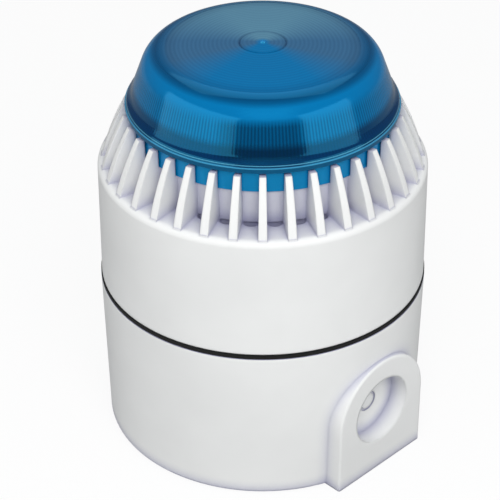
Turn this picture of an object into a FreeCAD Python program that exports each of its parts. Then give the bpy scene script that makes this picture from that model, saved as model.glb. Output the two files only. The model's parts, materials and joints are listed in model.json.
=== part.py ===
"""Alarm sounder with a beacon on a deep mounting base, as a parametric document.

The unit lies on its back: the wall face is at z = 0, +Z points away from the wall, and +X goes through
the middle of a side cable entry. Millimetres throughout.
"""

import FreeCAD, Part
import math
import os

import Sketcher

DRIVING_SIZES = (
    # deep base
    ("base_height", 47.6, "wall face to the base rim"),
    ("base_flare", 0.8, "base rim to its foot, in radius"),
    ("base_rim_radius", 46.8, "outside of the base at its rim"),
    ("base_wall", 2.4, "side wall of the base"),
    ("base_floor", 2.6, "back wall of the base"),
    ("foot_round", 0.8, "rounded edge around the wall face"),
    ("pad_proud", 1.0, "base rim out to the flat face of an entry pad"),
    ("pad_half_width", 17.1, "half the width of an entry pad, and the radius of its arch"),
    ("pad_round", 0.6, "rounded edge of an entry pad"),
    ("entry_height", 20.3, "wall face to the middle of a side entry"),
    ("entry_radius", 10.4, "M20 clearance"),
    ("entry_depth", 5.6, "pad face down to the knock-out membrane"),
    ("membrane", 0.8, "thickness of a knock-out membrane"),
    ("knockout_ring_radius", 3.2, "moulded start groove in a membrane"),
    ("entry_boss_wall", 2.0, "wall around a side entry inside the base"),
    ("carrier_pillar_gap", 3.5, "end of the terminal block to the axis of a carrier pillar"),
    ("carrier_pillar_radius", 3.6, "pillars that carry the terminals"),
    ("rear_collar", 1.4, "rim that stands up round the rear entry"),
    ("fixing_centres", 50.8, "distance between the two wall fixings"),
    ("fixing_slot_radius", 2.3, "half the width of a fixing slot"),
    ("fixing_slot_length", 10.0, "end to end length of a fixing slot"),
    # seam between base and head
    ("seam_gap", 1.6, "base rim to the lower edge of the head"),
    ("seal_inset", 0.5, "base rim to the outside of the seam seal"),
    ("seal_width", 1.9, "radial width of the seam seal"),
    ("seal_play", 0.1, "seam seal to the lower edge of the head"),
    # head housing
    ("head_inset", 0.3, "base rim to the outside of the head at its lower edge"),
    ("head_taper", 0.4, "lower edge of the head to its top, in radius"),
    ("head_wall", 2.4, "side wall of the head"),
    ("shoulder_height", 35.6, "lower edge of the head to its flat shoulder"),
    ("shoulder_plate", 2.2, "thickness of the shoulder"),
    ("shoulder_round", 2.0, "rounded outer edge of the shoulder"),
    ("skirt_overhang", 0.4, "collar inside the fins to the outside of the lens skirt"),
    ("collar_wall", 2.2, "thickness of the collar"),
    ("collar_rise", 9.8, "shoulder to the ledge that the lens stands on"),
    ("collar_drop", 4.0, "length of the collar below the shoulder plate"),
    ("deck_plate", 2.2, "thickness of the deck inside the collar"),
    ("fin_count", 36, "fins round the sound slots"),
    ("fin_offset", 5.0, "degrees from +X to the first fin"),
    ("fin_rise", 15.3, "shoulder to the fin tips"),
    ("fin_tip_reach", 2.1, "lens skirt to the outer corner of a fin tip"),
    ("fin_inset", 1.2, "outside of the head to the outer edge of a fin at the shoulder"),
    ("fin_trim", 0.3, "drawn past the outer edge of a fin, and trimmed off"),
    ("fin_bow", 70.0, "radius of the bowed outer edge of a fin"),
    ("fin_inner_thickness", 2.0, "fin thickness at the collar"),
    ("fin_outer_thickness", 2.4, "fin thickness at the rim"),
    ("fin_draft", 0.6, "degrees of draft on each side of a fin"),
    ("fin_skirt_gap", 0.4, "clearance between the fins and the lens skirt"),
    ("slot_half_width", 2.0, "half the width of a sound slot"),
    ("slot_straight", 0.9, "straight part of a sound slot, out from the collar"),
    ("slot_end_round", 2.3, "radius of the outer end of a sound slot"),
    ("post_radius", 3.0, "posts that take the back cover screws"),
    ("post_inset", 7.3, "bore of the head to the circle through the posts"),
    # bayonet and back cover
    ("lug_room", 2.2, "bore of the base rim to the bayonet spigot"),
    ("spigot_wall", 2.0, "wall of the bayonet spigot"),
    ("spigot_drop", 8.2, "lower edge of the head down to the end of the spigot"),
    ("cover_plate", 2.2, "thickness of the back cover"),
    ("cover_gap", 0.3, "back cover to the head's wall"),
    ("lug_count", 3, "bayonet lugs"),
    ("base_lug_angle", 26.0, "degrees covered by a lug of the base"),
    ("head_lug_angle", 22.0, "degrees covered by a lug of the head"),
    ("base_lug_thickness", 2.0, "height of a lug of the base"),
    ("head_lug_thickness", 2.5, "height of a lug of the head"),
    ("base_lug_depth", 1.6, "rim of the base down to the top of its lugs"),
    ("lug_stop_width", 1.0, "stop at the end of a base lug"),
    ("lug_gap", 0.4, "running clearance of the bayonet, sideways"),
    ("lug_drop_gap", 0.3, "running clearance of the bayonet, up and down"),
    # beacon lens
    ("lens_wall", 2.0, "wall of the lens"),
    ("skirt_radius", 36.4, "outside of the lens skirt"),
    ("flange_reach", 1.85, "lens skirt to the outside of the lens flange"),
    ("flange_lift", 0.7, "fin tips to the underside of the flange"),
    ("flange_edge", 1.4, "height of the flange's outer edge"),
    ("flange_step", 0.6, "each of the two small steps above it"),
    ("lens_foot_reach", 0.7, "lens skirt to the outside of the lens wall at the flange"),
    ("lens_flare_reach", 1.45, "flared foot of the wall, inwards"),
    ("lens_flare_rise", 2.7, "flared foot of the wall, upwards"),
    ("lens_lean", 5.7, "foot of the lens wall to where wall and top would meet, in radius"),
    ("lens_corner_rise", 14.35, "flange steps to where wall and top would meet"),
    ("lens_corner_round", 8.15, "rounding between wall and top"),
    ("lens_crown", 1.65, "rise of the top from its edge to the middle"),
    ("lens_ring_rise", 4.2, "ledge to the top of the ring that the skirt slides over"),
    ("lens_ring_wall", 2.0, "wall of that ring"),
    ("lens_groove_lift", 1.4, "ledge to the seal groove"),
    ("lens_groove_width", 1.8, "height of the seal groove"),
    ("lens_groove_depth", 1.3, "depth of the seal groove"),
    ("lens_seal_radius", 0.65, "section of the lens seal"),
    ("lens_seal_play", 0.05, "lens seal to the skirt"),
    ("skirt_gap", 0.3, "clearance inside the lens skirt"),
    # boards
    ("board", 1.6, "thickness of each circuit board"),
    ("board_inset", 3.1, "bore of the head to the sounder board"),
    ("board_stand", 4.6, "back cover to the sounder board"),
    ("pillar_radius", 2.6, "pillars that carry boards and baffle"),
    ("board_pillar_inset", 1.0, "driver cup to the circle through the sounder board's pillars"),
    ("beacon_board_inset", 3.1, "ring inside the lens to the beacon board"),
    ("beacon_board_stand", 3.0, "deck to the beacon board"),
    ("beacon_pillar_inset", 5.0, "edge of the beacon board to the circle through its pillars"),
    ("link_width", 10.0, "upright board between the two boards"),
    ("link_inset", 3.3, "bore of the collar to the middle of the link board"),
    ("link_gap", 0.3, "clearance round the link board"),
    ("link_overlap", 1.5, "link board above the beacon board"),
    ("fit_gap", 0.2, "clearance round a piece that slides or passes through another"),
    # sounder
    ("baffle_drop", 10.0, "underside of the shoulder to the baffle"),
    ("baffle_plate", 2.0, "thickness of the baffle"),
    ("baffle_pillar_inset", 3.9, "bore of the head to the circle through the baffle's pillars"),
    ("throat_radius", 11.0, "opening of the horn throat"),
    ("throat_rise", 6.0, "height of the horn throat"),
    ("horn_foot", 3.2, "wall of the horn at the baffle"),
    ("horn_flare", 6.4, "throat to the outside of the horn mouth, sideways"),
    ("horn_edge", 1.4, "wall of the horn at its mouth"),
    ("cup_floor", 1.6, "bottom of the driver cup"),
    ("cup_gap", 0.4, "brass plate of the driver to the wall of its cup"),
    ("cup_height", 9.0, "height of the driver cup"),
    ("cup_wall", 2.0, "wall of the driver cup"),
    ("piezo_radius", 24.6, "brass plate of the driver"),
    ("piezo_thickness", 0.6, "brass plate of the driver"),
    ("ceramic_radius", 12.5, "ceramic disc of the driver"),
    ("ceramic_thickness", 0.4, "ceramic disc of the driver"),
    ("clamp_ring_width", 2.2, "radial width of the driver clamp ring"),
    # controls
    ("switch_ways", 5, "sliders in the tone switch"),
    ("switch_pitch", 2.54, "spacing of the sliders"),
    ("switch_width", 9.6, "tone switch body across its sliders' travel"),
    ("switch_place", 18.0, "axis to the middle of the tone switch, along -X"),
    ("switch_ends", 1.2, "tone switch body beyond its sliders"),
    ("switch_sunk", 1.0, "depth of the tone switch body in the back cover"),
    ("slider_width", 1.3, "slider of the tone switch"),
    ("slider_length", 2.2, "slider of the tone switch, along its travel"),
    ("slider_slot_depth", 2.0, "depth of a slider's slot"),
    ("control_recess", 0.5, "underside of the back cover to the sliders and the rotor"),
    ("slider_travel", 1.8, "travel of a slider"),
    ("volume_place", 18.0, "axis to the middle of the volume control, along +X"),
    ("volume_body_width", 8.0, "body of the volume control"),
    ("volume_body_lift", 0.6, "back cover to the body of the volume control"),
    ("volume_rotor_radius", 2.6, "rotor of the volume control"),
    ("volume_hole_gap", 0.8, "hole in the back cover round the rotor"),
    ("volume_bore", 1.4, "bore that the rotor turns in"),
    ("volume_bore_depth", 2.4, "bore that the rotor turns in"),
    ("volume_drive_width", 0.8, "screwdriver slot of the rotor"),
    ("volume_drive_depth", 0.9, "screwdriver slot of the rotor"),
    # parts on the sounder board
    ("tall_part_gap", 6.5, "driver cup to the circle through the tall parts"),
    ("supply_can_radius", 5.0, "supply capacitors"),
    ("supply_can_height", 9.5, "supply capacitors"),
    ("supply_can_step", 20.0, "degrees between the supply capacitors"),
    ("boost_coil_radius", 5.5, "flanges of the boost coil"),
    ("boost_coil_waist", 3.8, "winding of the boost coil"),
    ("boost_coil_height", 8.0, "boost coil"),
    ("coil_flange", 0.9, "thickness of a coil former's flange"),
    ("chip_length", 10.0, "controller chip"),
    ("chip_width", 7.0, "controller chip"),
    ("chip_height", 1.6, "controller chip"),
    ("small_part_circle", 16.0, "circle through the small board parts"),
    ("small_part_length", 3.2, "small board part"),
    ("small_part_width", 1.6, "small board part"),
    ("small_part_height", 0.7, "small board part"),
    # beacon
    ("tube_leg_place", 4.5, "axis to a leg of the flash tube"),
    ("tube_radius", 1.6, "glass of the flash tube"),
    ("tube_leg_length", 7.0, "straight part of the flash tube"),
    ("socket_wall", 0.9, "wall of a tube socket"),
    ("socket_height", 3.0, "tube socket"),
    ("tube_gap", 0.1, "tube socket round its leg"),
    ("reflector_bore", 8.0, "inside of the reflector's foot"),
    ("reflector_wall", 1.4, "reflector"),
    ("reflector_flat", 12.0, "outside of the flat part of the reflector"),
    ("reflector_radius", 15.0, "outside of the reflector"),
    ("reflector_rise", 3.6, "flat part to the edge of the reflector"),
    ("flash_can_radius", 5.2, "flash capacitor"),
    ("flash_can_length", 16.0, "flash capacitor"),
    ("flash_can_bead", 0.4, "rolled bead of the flash capacitor"),
    ("flash_can_angle", 45.0, "degrees from +X towards -Y to the flash capacitor"),
    ("outer_part_inset", 8.0, "edge of the beacon board to the circle through its outer parts"),
    ("trigger_coil_radius", 3.4, "flanges of the trigger coil"),
    ("trigger_coil_waist", 2.5, "winding of the trigger coil"),
    ("trigger_coil_height", 7.0, "trigger coil"),
    # terminals and contacts
    ("carrier_height", 27.0, "wall face to the underside of the terminal carrier"),
    ("carrier_plate", 2.5, "thickness of the terminal carrier"),
    ("carrier_end", 4.5, "axis of a carrier pillar to the end of the terminal carrier"),
    ("carrier_near", 7.0, "axis to the near edge of the carrier, along +Y"),
    ("carrier_wall_gap", 0.63, "rounded corner of the carrier to the bore of the base"),
    ("carrier_round", 2.0, "rounded corners of the carrier"),
    ("terminal_ways", 6, "terminals"),
    ("terminal_pitch", 6.0, "spacing of the terminals"),
    ("terminal_ends", 2.0, "terminal block beyond its ways"),
    ("terminal_depth", 11.0, "terminal block along Y"),
    ("terminal_spacer", 1.5, "contact block to the terminal block"),
    ("terminal_height", 12.0, "height of the terminal block"),
    ("wire_hole_width", 3.6, "mouth of a wire hole"),
    ("wire_hole_height", 4.0, "mouth of a wire hole"),
    ("wire_hole_depth", 7.0, "wire hole along Y"),
    ("wire_hole_sill", 2.5, "carrier to the bottom of a wire hole"),
    ("clamp_thickness", 0.7, "brass clamp in a wire hole"),
    ("terminal_screw_inset", 3.6, "face of the terminal block to its row of screws"),
    ("terminal_screw_bore", 1.9, "tube over a terminal screw"),
    ("terminal_head_radius", 1.7, "terminal screw"),
    ("terminal_head_height", 2.0, "terminal screw"),
    ("terminal_shank_radius", 1.1, "terminal screw"),
    ("terminal_screw_sunk", 3.2, "top of the terminal block to the underside of a screw's head"),
    ("terminal_screw_reach", 1.2, "bottom of a wire hole to the end of its screw"),
    ("terminal_drive_width", 0.6, "slot of a terminal screw"),
    ("terminal_drive_depth", 0.8, "slot of a terminal screw"),
    ("contact_ways", 4, "contact springs"),
    ("contact_pitch", 8.0, "spacing of the contact springs"),
    ("contact_block_height", 8.0, "height of the contact block"),
    ("contact_block_depth", 8.0, "contact block along Y"),
    ("contact_block_round", 0.8, "rounded corners of the contact block"),
    ("contact_inset", 6.0, "near edge of the carrier to the crest of the contact springs"),
    ("contact_reach", 4.0, "foot of a contact spring to its crest, along Y"),
    ("contact_bend_rise", 2.0, "contact block to the bend of a spring"),
    ("contact_tail", 3.0, "crest of a contact spring to its free end, along Y"),
    ("contact_tail_drop", 1.5, "crest of a contact spring down to its free end"),
    ("contact_strip", 0.5, "thickness of a contact spring"),
    ("contact_strip_width", 2.4, "width of a contact spring"),
    ("contact_gap", 0.3, "running clearance under the contact rails"),
    ("rail_thickness", 0.5, "contact rails on the back cover"),
    ("rail_spare", 3.0, "degrees of a contact rail beyond the contact's sweep"),
    ("twist", 25.0, "degrees that the head turns in the bayonet"),
    # screws
    ("screw_head_radius", 2.4, "pan head"),
    ("screw_head_height", 1.7, "pan head"),
    ("screw_shank_radius", 1.2, "thread"),
    ("screw_length", 7.0, "thread below the head"),
    ("screw_end_gap", 0.6, "end of a screw to the bottom of its hole"),
    ("thread_gap", 0.1, "screw hole round its thread"),
    ("screw_gap", 0.3, "passing hole round a screw"),
)

doc = FreeCAD.newDocument("SounderBeacon")
sheet = doc.addObject("Spreadsheet::Sheet", "Sizes")
for row, (alias, number, note) in enumerate(DRIVING_SIZES, start=1):
    sheet.set(f"A{row}", str(number))
    sheet.setAlias(f"A{row}", alias)
    sheet.set(f"B{row}", note)
doc.recompute()

node_objects = []
NEAR = 1e-3


# ---------------------------------------------------------------- sizes as expressions


class Size:
    """A length or an angle as a sheet expression: what is worked out from it stays bound to the cells."""

    def __init__(self, text):
        self.text = str(text)

    @property
    def value(self):
        return float(sheet.evalExpression(self.text))

    def __add__(self, other):
        return Size(f"({self.text} + {size(other).text})")

    def __radd__(self, other):
        return size(other) + self

    def __sub__(self, other):
        return Size(f"({self.text} - {size(other).text})")

    def __rsub__(self, other):
        return size(other) - self

    def __mul__(self, other):
        return Size(f"({self.text} * {size(other).text})")

    def __rmul__(self, other):
        return size(other) * self

    def __truediv__(self, other):
        return Size(f"({self.text} / {size(other).text})")

    def __rtruediv__(self, other):
        return size(other) / self

    def __neg__(self):
        return Size(f"(0 - {self.text})")


def size(thing):
    return thing if isinstance(thing, Size) else Size(thing)


def cell(alias):
    return Size(f"Sizes.{alias}")


def cosine(angle):
    return Size(f"cos({size(angle).text})")


def sine(angle):
    return Size(f"sin({size(angle).text})")


ZERO = Size("0")

# heights that several pieces share
head_bottom = cell("base_height") + cell("seam_gap")
shoulder = head_bottom + cell("shoulder_height")
shoulder_under = shoulder - cell("shoulder_plate")
ledge = shoulder + cell("collar_rise")
deck_under = ledge - cell("deck_plate")
fin_tip = shoulder + cell("fin_rise")
cover_top = head_bottom + cell("cover_plate")
board_under = cover_top + cell("board_stand")
board_top = board_under + cell("board")
baffle_top = shoulder_under - cell("baffle_drop")
baffle_under = baffle_top - cell("baffle_plate")
beacon_board_under = ledge + cell("beacon_board_stand")
beacon_board_top = beacon_board_under + cell("board")
carrier_top = cell("carrier_height") + cell("carrier_plate")
flange_under = fin_tip + cell("flange_lift")
flange_top = flange_under + cell("flange_edge") + 2 * cell("flange_step")

# lengths of the terminal carrier that the base shares
terminal_length = cell("terminal_ways") * cell("terminal_pitch") + cell("terminal_ends")
carrier_pillar_x = terminal_length / 2 + cell("carrier_pillar_gap")
carrier_half_length = carrier_pillar_x + cell("carrier_end")

# radii that several pieces share
base_foot_radius = cell("base_rim_radius") - cell("base_flare")
pad_reach = cell("base_rim_radius") + cell("pad_proud")
seal_radius = cell("base_rim_radius") - cell("seal_inset")
spigot_radius = cell("base_rim_radius") - cell("base_wall") - cell("lug_room")
head_foot_radius = cell("base_rim_radius") - cell("head_inset")
head_bore = head_foot_radius - cell("head_wall")
head_top_radius = head_foot_radius - cell("head_taper")
fin_root_radius = head_top_radius - cell("fin_inset")
board_radius = head_bore - cell("board_inset")
post_circle = head_bore - cell("post_inset")
baffle_pillar_circle = head_bore - cell("baffle_pillar_inset")
skirt_bore = cell("skirt_radius") - cell("lens_wall")
lens_spigot = skirt_bore - cell("skirt_gap")
lens_ring_bore = lens_spigot - cell("lens_ring_wall")
collar_radius = cell("skirt_radius") - cell("skirt_overhang")
collar_bore = collar_radius - cell("collar_wall")
fin_tip_radius = cell("skirt_radius") + cell("fin_tip_reach")
flange_radius = cell("skirt_radius") + cell("flange_reach")
lens_foot_radius = cell("skirt_radius") + cell("lens_foot_reach")
lens_corner_radius = lens_foot_radius - cell("lens_lean")
beacon_board_radius = lens_ring_bore - cell("beacon_board_inset")
beacon_pillar_circle = beacon_board_radius - cell("beacon_pillar_inset")
outer_part_circle = beacon_board_radius - cell("outer_part_inset")
cup_radius = cell("piezo_radius") + cell("cup_gap") + cell("cup_wall")
board_pillar_circle = cup_radius - cell("board_pillar_inset")
tall_part_circle = cup_radius + cell("tall_part_gap")
thread_hole = cell("screw_shank_radius") + cell("thread_gap")
clearance_hole = cell("screw_shank_radius") + cell("screw_gap")


# ---------------------------------------------------------------- sketches and features


def new_body(label):
    body = doc.addObject("PartDesign::Body", label)
    body.Label = label
    node_objects.append(body)
    return body


def origin_item(body, role):
    return next(item for item in body.Origin.OriginFeatures if item.Role == role)


def new_sketch(body, plane="XY_Plane", lift=ZERO):
    sketch = body.newObject("Sketcher::SketchObject", f"{body.Label}_sketch")
    sketch.AttachmentSupport = [(origin_item(body, plane), "")]
    sketch.MapMode = "FlatFace"
    sketch.setExpression("AttachmentOffset.Base.z", lift.text)
    return sketch


def bind(sketch, constraint, length):
    index = sketch.addConstraint(constraint)
    sketch.setExpression(f"Constraints[{index}]", length.text)


def hold_point(sketch, item, end, across, along):
    """Fix one point of a sketch item at two sheet expressions, measured from the sketch's origin."""
    for kind, axis, length in (("DistanceX", -2, size(across)), ("DistanceY", -1, size(along))):
        if abs(length.value) < 1e-9:
            sketch.addConstraint(Sketcher.Constraint("PointOnObject", item, end, axis))
        else:
            bind(sketch, Sketcher.Constraint(kind, -1, 1, item, end, length.value), length)


def point(across, along):
    return FreeCAD.Vector(size(across).value, size(along).value, 0)


def arc_between(start, end, radius, bulge):
    """Arc from start to end whose middle lies right (bulge 1) or left (bulge -1) of the way there."""
    middle = (start + end) * 0.5
    way = end - start
    right = FreeCAD.Vector(way.y, -way.x, 0).normalize() * bulge
    half = way.Length / 2
    to_centre = math.sqrt(radius * radius - half * half)
    crest = middle + right * (radius - to_centre)
    return Part.Arc(start, crest, end)


def outline(sketch, corners):
    """Closed outline. A corner is (across, along), with radius and bulge added where an arc leaves it."""
    items = []
    for number, corner in enumerate(corners):
        following = corners[(number + 1) % len(corners)]
        start, end = point(*corner[:2]), point(*following[:2])
        if len(corner) == 2:
            items.append((sketch.addGeometry(Part.LineSegment(start, end), False), 1, 2))
            continue
        item = sketch.addGeometry(arc_between(start, end, size(corner[2]).value, corner[3]), False)
        starts_here = sketch.getPoint(item, 1).distanceToPoint(start) < NEAR
        items.append((item, 1, 2) if starts_here else (item, 2, 1))
    for number, (item, first, last) in enumerate(items):
        next_item, next_first, _ = items[(number + 1) % len(items)]
        sketch.addConstraint(Sketcher.Constraint("Coincident", item, last, next_item, next_first))
    for corner, (item, first, _) in zip(corners, items):
        hold_point(sketch, item, first, corner[0], corner[1])
        if len(corner) > 2:
            radius = size(corner[2])
            bind(sketch, Sketcher.Constraint("Radius", item, radius.value), radius)
    return sketch


def rectangle(sketch, low_across, low_along, high_across, high_along):
    return outline(
        sketch,
        (
            (low_across, low_along),
            (high_across, low_along),
            (high_across, high_along),
            (low_across, high_along),
        ),
    )


def circle(sketch, across, along, radius):
    item = sketch.addGeometry(Part.Circle(point(across, along), FreeCAD.Vector(0, 0, 1), radius.value), False)
    bind(sketch, Sketcher.Constraint("Radius", item, radius.value), radius)
    hold_point(sketch, item, 3, across, along)
    return sketch


def slot_outline(sketch, across, along, half_run, radius):
    """Round-ended slot that runs along the sketch's second axis."""
    centres = (along + half_run, along - half_run)
    arcs = []
    for centre, first, last in ((centres[0], 0, math.pi), (centres[1], math.pi, 2 * math.pi)):
        ring = Part.Circle(point(across, centre), FreeCAD.Vector(0, 0, 1), radius.value)
        arcs.append(sketch.addGeometry(Part.ArcOfCircle(ring, first, last), False))
        hold_point(sketch, arcs[-1], 3, across, centre)
    sides = []
    for item, end, other, other_end in ((arcs[0], 2, arcs[1], 1), (arcs[1], 2, arcs[0], 1)):
        line = Part.LineSegment(sketch.getPoint(item, end), sketch.getPoint(other, other_end))
        sides.append(sketch.addGeometry(line, False))
        sketch.addConstraint(Sketcher.Constraint("Tangent", item, end, sides[-1], 1))
        sketch.addConstraint(Sketcher.Constraint("Tangent", sides[-1], 2, other, other_end))
    bind(sketch, Sketcher.Constraint("Radius", arcs[0], radius.value), radius)
    sketch.addConstraint(Sketcher.Constraint("Equal", arcs[0], arcs[1]))
    return sketch


def revolve(body, corners):
    """Full turn of an outline in the XZ plane about Z."""
    feature = body.newObject("PartDesign::Revolution", f"{body.Label}_turned")
    feature.Profile = outline(new_sketch(body, "XZ_Plane"), corners)
    feature.ReferenceAxis = (feature.Profile[0], ["V_Axis"])
    feature.Angle = 360
    return finish_feature(body, feature)


def groove(body, corners):
    feature = body.newObject("PartDesign::Groove", f"{body.Label}_groove")
    feature.Profile = outline(new_sketch(body, "XZ_Plane"), corners)
    feature.ReferenceAxis = (feature.Profile[0], ["V_Axis"])
    feature.Angle = 360
    return finish_cut(body, feature)


def pad(body, sketch, length, both_ways=False, downwards=False, draft=None):
    feature = body.newObject("PartDesign::Pad", f"{body.Label}_pad")
    feature.Profile = sketch
    feature.setExpression("Length", size(length).text)
    feature.Midplane = both_ways
    feature.Reversed = downwards
    if draft is not None:
        feature.setExpression("TaperAngle", size(draft).text)
    return finish_feature(body, feature)


def pocket(body, sketch, length, upwards=False, both_ways=False):
    feature = body.newObject("PartDesign::Pocket", f"{body.Label}_pocket")
    feature.Profile = sketch
    feature.setExpression("Length", size(length).text)
    feature.Reversed = upwards
    feature.Midplane = both_ways
    return finish_cut(body, feature)


def polar(body, features, count):
    """Copies of the features about Z."""
    feature = body.newObject("PartDesign::PolarPattern", f"{body.Label}_ring")
    feature.Originals = features
    feature.Axis = (origin_item(body, "Z_Axis"), [""])
    feature.Angle = 360
    feature.setExpression("Occurrences", size(count).text)
    return finish_feature(body, feature)


def linear(body, features, axis, count, pitch):
    """Copies of the features in a row along one axis."""
    feature = body.newObject("PartDesign::LinearPattern", f"{body.Label}_row")
    feature.Originals = features
    feature.Direction = (origin_item(body, axis), [""])
    feature.setExpression("Length", ((size(count) - 1) * pitch).text)
    feature.setExpression("Occurrences", size(count).text)
    return finish_feature(body, feature)


def finish_feature(body, feature):
    body.Tip = feature
    doc.recompute()
    return feature


def finish_cut(body, feature):
    """A cut that points away from its solid changes nothing and shows no error, so the volume is compared."""
    before = feature.BaseFeature.Shape.Volume
    finish_feature(body, feature)
    if feature.Shape.Volume > before - 1e-6:
        raise RuntimeError(f"{feature.Label} cuts nothing")
    return feature


def round_edges(body, radius, test):
    """Fillet on every edge of the body whose middle passes the test."""
    base = body.Tip
    names = [f"Edge{number}" for number, edge in enumerate(base.Shape.Edges, start=1) if test(edge)]
    if not names:
        raise RuntimeError(f"{body.Label} has no such edge")
    feature = body.newObject("PartDesign::Fillet", f"{body.Label}_round")
    feature.Base = (base, names)
    feature.setExpression("Radius", size(radius).text)
    return finish_feature(body, feature)


def edge_points(edge):
    """Both ends and the middle of an edge."""
    first, last = edge.ParameterRange
    return [edge.valueAt(first), edge.valueAt((first + last) / 2), edge.valueAt(last)]


def is_upright(edge):
    low, middle, high = edge_points(edge)
    return all(abs(low.x - at.x) + abs(low.y - at.y) < NEAR for at in (middle, high))


def is_ring_at(edge, radius, height):
    """True for a circle about Z of this radius at this height."""
    return all(
        abs(math.hypot(at.x, at.y) - radius.value) < NEAR and abs(at.z - height.value) < NEAR
        for at in edge_points(edge)
    )


def place(item, across=ZERO, along=ZERO, height=ZERO):
    for axis, length in (("x", across), ("y", along), ("z", height)):
        item.setExpression(f"Placement.Base.{axis}", size(length).text)


# ---------------------------------------------------------------- primitives and groups


def cylinder(name, radius, height, across=ZERO, along=ZERO, base=ZERO):
    item = doc.addObject("Part::Cylinder", name)
    item.setExpression("Radius", size(radius).text)
    item.setExpression("Height", size(height).text)
    place(item, across, along, base)
    return item


def block(name, lengths, across, along, base):
    """Box whose place is the middle of its underside."""
    item = doc.addObject("Part::Box", name)
    for side, length in zip(("Length", "Width", "Height"), lengths):
        item.setExpression(side, size(length).text)
    place(item, across - size(lengths[0]) / 2, along - size(lengths[1]) / 2, base)
    return item


def fused(name, members):
    item = doc.addObject("Part::MultiFuse", name)
    item.Shapes = members
    return item


def difference(name, base, tool):
    item = doc.addObject("Part::Cut", name)
    item.Base = base
    item.Tool = tool
    return item


def group(label, members):
    """One node of separate like solids."""
    item = doc.addObject("Part::Compound", label)
    item.Label = label
    item.Links = members
    node_objects.append(item)
    return item


def single(label, item):
    item.Label = label
    node_objects.append(item)
    return item


def pan_screw(name, across, along, seat, head_up, length=cell("screw_length")):
    """Cross-recessed pan head screw. The seat is the height under its head."""
    head_height = cell("screw_head_height")
    recess_depth = head_height * 0.6
    blade = (cell("screw_head_radius") * 1.2, cell("screw_head_radius") * 0.3)
    head_low = seat if head_up else seat - head_height
    shank_low = seat - length if head_up else seat - head_height / 2
    recess_low = seat + head_height - recess_depth if head_up else seat - head_height
    head = cylinder(f"{name}_head", cell("screw_head_radius"), head_height, across, along, head_low)
    shank_height = length + head_height / 2
    shank = cylinder(f"{name}_shank", cell("screw_shank_radius"), shank_height, across, along, shank_low)
    first = block(f"{name}_blade_a", (blade[0], blade[1], recess_depth), across, along, recess_low)
    second = block(f"{name}_blade_b", (blade[1], blade[0], recess_depth), across, along, recess_low)
    return difference(name, fused(f"{name}_solid", [head, shank]), fused(f"{name}_recess", [first, second]))


def ring_places(circle_radius, count, first_angle):
    """Centres on a circle about Z."""
    for number in range(count):
        angle = size(first_angle) + number * 360 / count
        yield circle_radius * cosine(angle), circle_radius * sine(angle)


def screw_ring(label, ring, seat, head_up):
    places = ring_places(*ring)
    group(label, [pan_screw(f"{label}_{n}", x, y, seat, head_up) for n, (x, y) in enumerate(places)])


# circle, count and first angle of each ring of posts
POST_RING = (post_circle, 4, 45)
BOARD_RING = (board_pillar_circle, 3, 90)
BAFFLE_RING = (baffle_pillar_circle, 4, 0)
BEACON_RING = (beacon_pillar_circle, 3, 30)


def circles(body, height, ring, radius):
    """Like circles about Z in one sketch."""
    sketch = new_sketch(body, "XY_Plane", height)
    for across, along in ring_places(*ring):
        circle(sketch, across, along, radius)
    return sketch


def round_posts(body, ring, radius, low, length):
    """Like posts about Z, standing on the body at a height."""
    pad(body, circles(body, low, ring, radius), length)


def round_holes(body, ring, radius, top, depth):
    pocket(body, circles(body, top, ring, radius), depth)


def sector(body, corners, angle):
    """Part of a turn of an outline about Z, centred on +X."""
    feature = body.newObject("PartDesign::Revolution", f"{body.Label}_sector")
    feature.Profile = outline(new_sketch(body, "XZ_Plane"), corners)
    feature.ReferenceAxis = (feature.Profile[0], ["V_Axis"])
    feature.setExpression("Angle", size(angle).text)
    feature.Midplane = True
    return finish_feature(body, feature)


# ---------------------------------------------------------------- base


def base_bore(height):
    """Inside radius of the base at a height."""
    low = base_foot_radius - cell("base_wall")
    flare = cell("base_rim_radius") - base_foot_radius
    return low + flare * (height - cell("base_floor")) / (cell("base_height") - cell("base_floor"))


base_lug_top = cell("base_height") - cell("base_lug_depth")
base_lug_low = base_lug_top - cell("base_lug_thickness")
head_lug_top = base_lug_low - cell("lug_drop_gap")
head_lug_low = head_lug_top - cell("head_lug_thickness")
carrier_bore = base_bore(cell("carrier_height")) - cell("carrier_wall_gap") - cell("carrier_round")
carrier_across = carrier_half_length - cell("carrier_round")
carrier_along = Size(f"sqrt({(carrier_bore * carrier_bore - carrier_across * carrier_across).text})")
carrier_far = carrier_along + cell("carrier_round")
carrier_middle = (cell("carrier_near") + carrier_far) / 2


def make_base_shell():
    body = new_body("base_shell")
    foot, rim, wall = base_foot_radius, cell("base_rim_radius"), cell("base_wall")
    floor, height = cell("base_floor"), cell("base_height")
    revolve(body, ((foot, 0), (rim, height), (rim - wall, height), (foot - wall, floor), (0, floor), (0, 0)))
    round_edges(body, cell("foot_round"), lambda edge: is_ring_at(edge, foot, ZERO))
    add_entry_pads(body)
    add_rear_entry(body)
    add_fixing_slots(body)
    add_base_lugs(body)
    low = floor / 2
    for side in (-1, 1):
        across = side * carrier_pillar_x
        sketch = new_sketch(body, "XY_Plane", low)
        pillar = circle(sketch, across, carrier_middle, cell("carrier_pillar_radius"))
        pad(body, pillar, cell("carrier_height") - low)
        hole = circle(
            new_sketch(body, "XY_Plane", cell("carrier_height")), across, carrier_middle, thread_hole
        )
        pocket(body, hole, cell("screw_length"))


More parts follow.
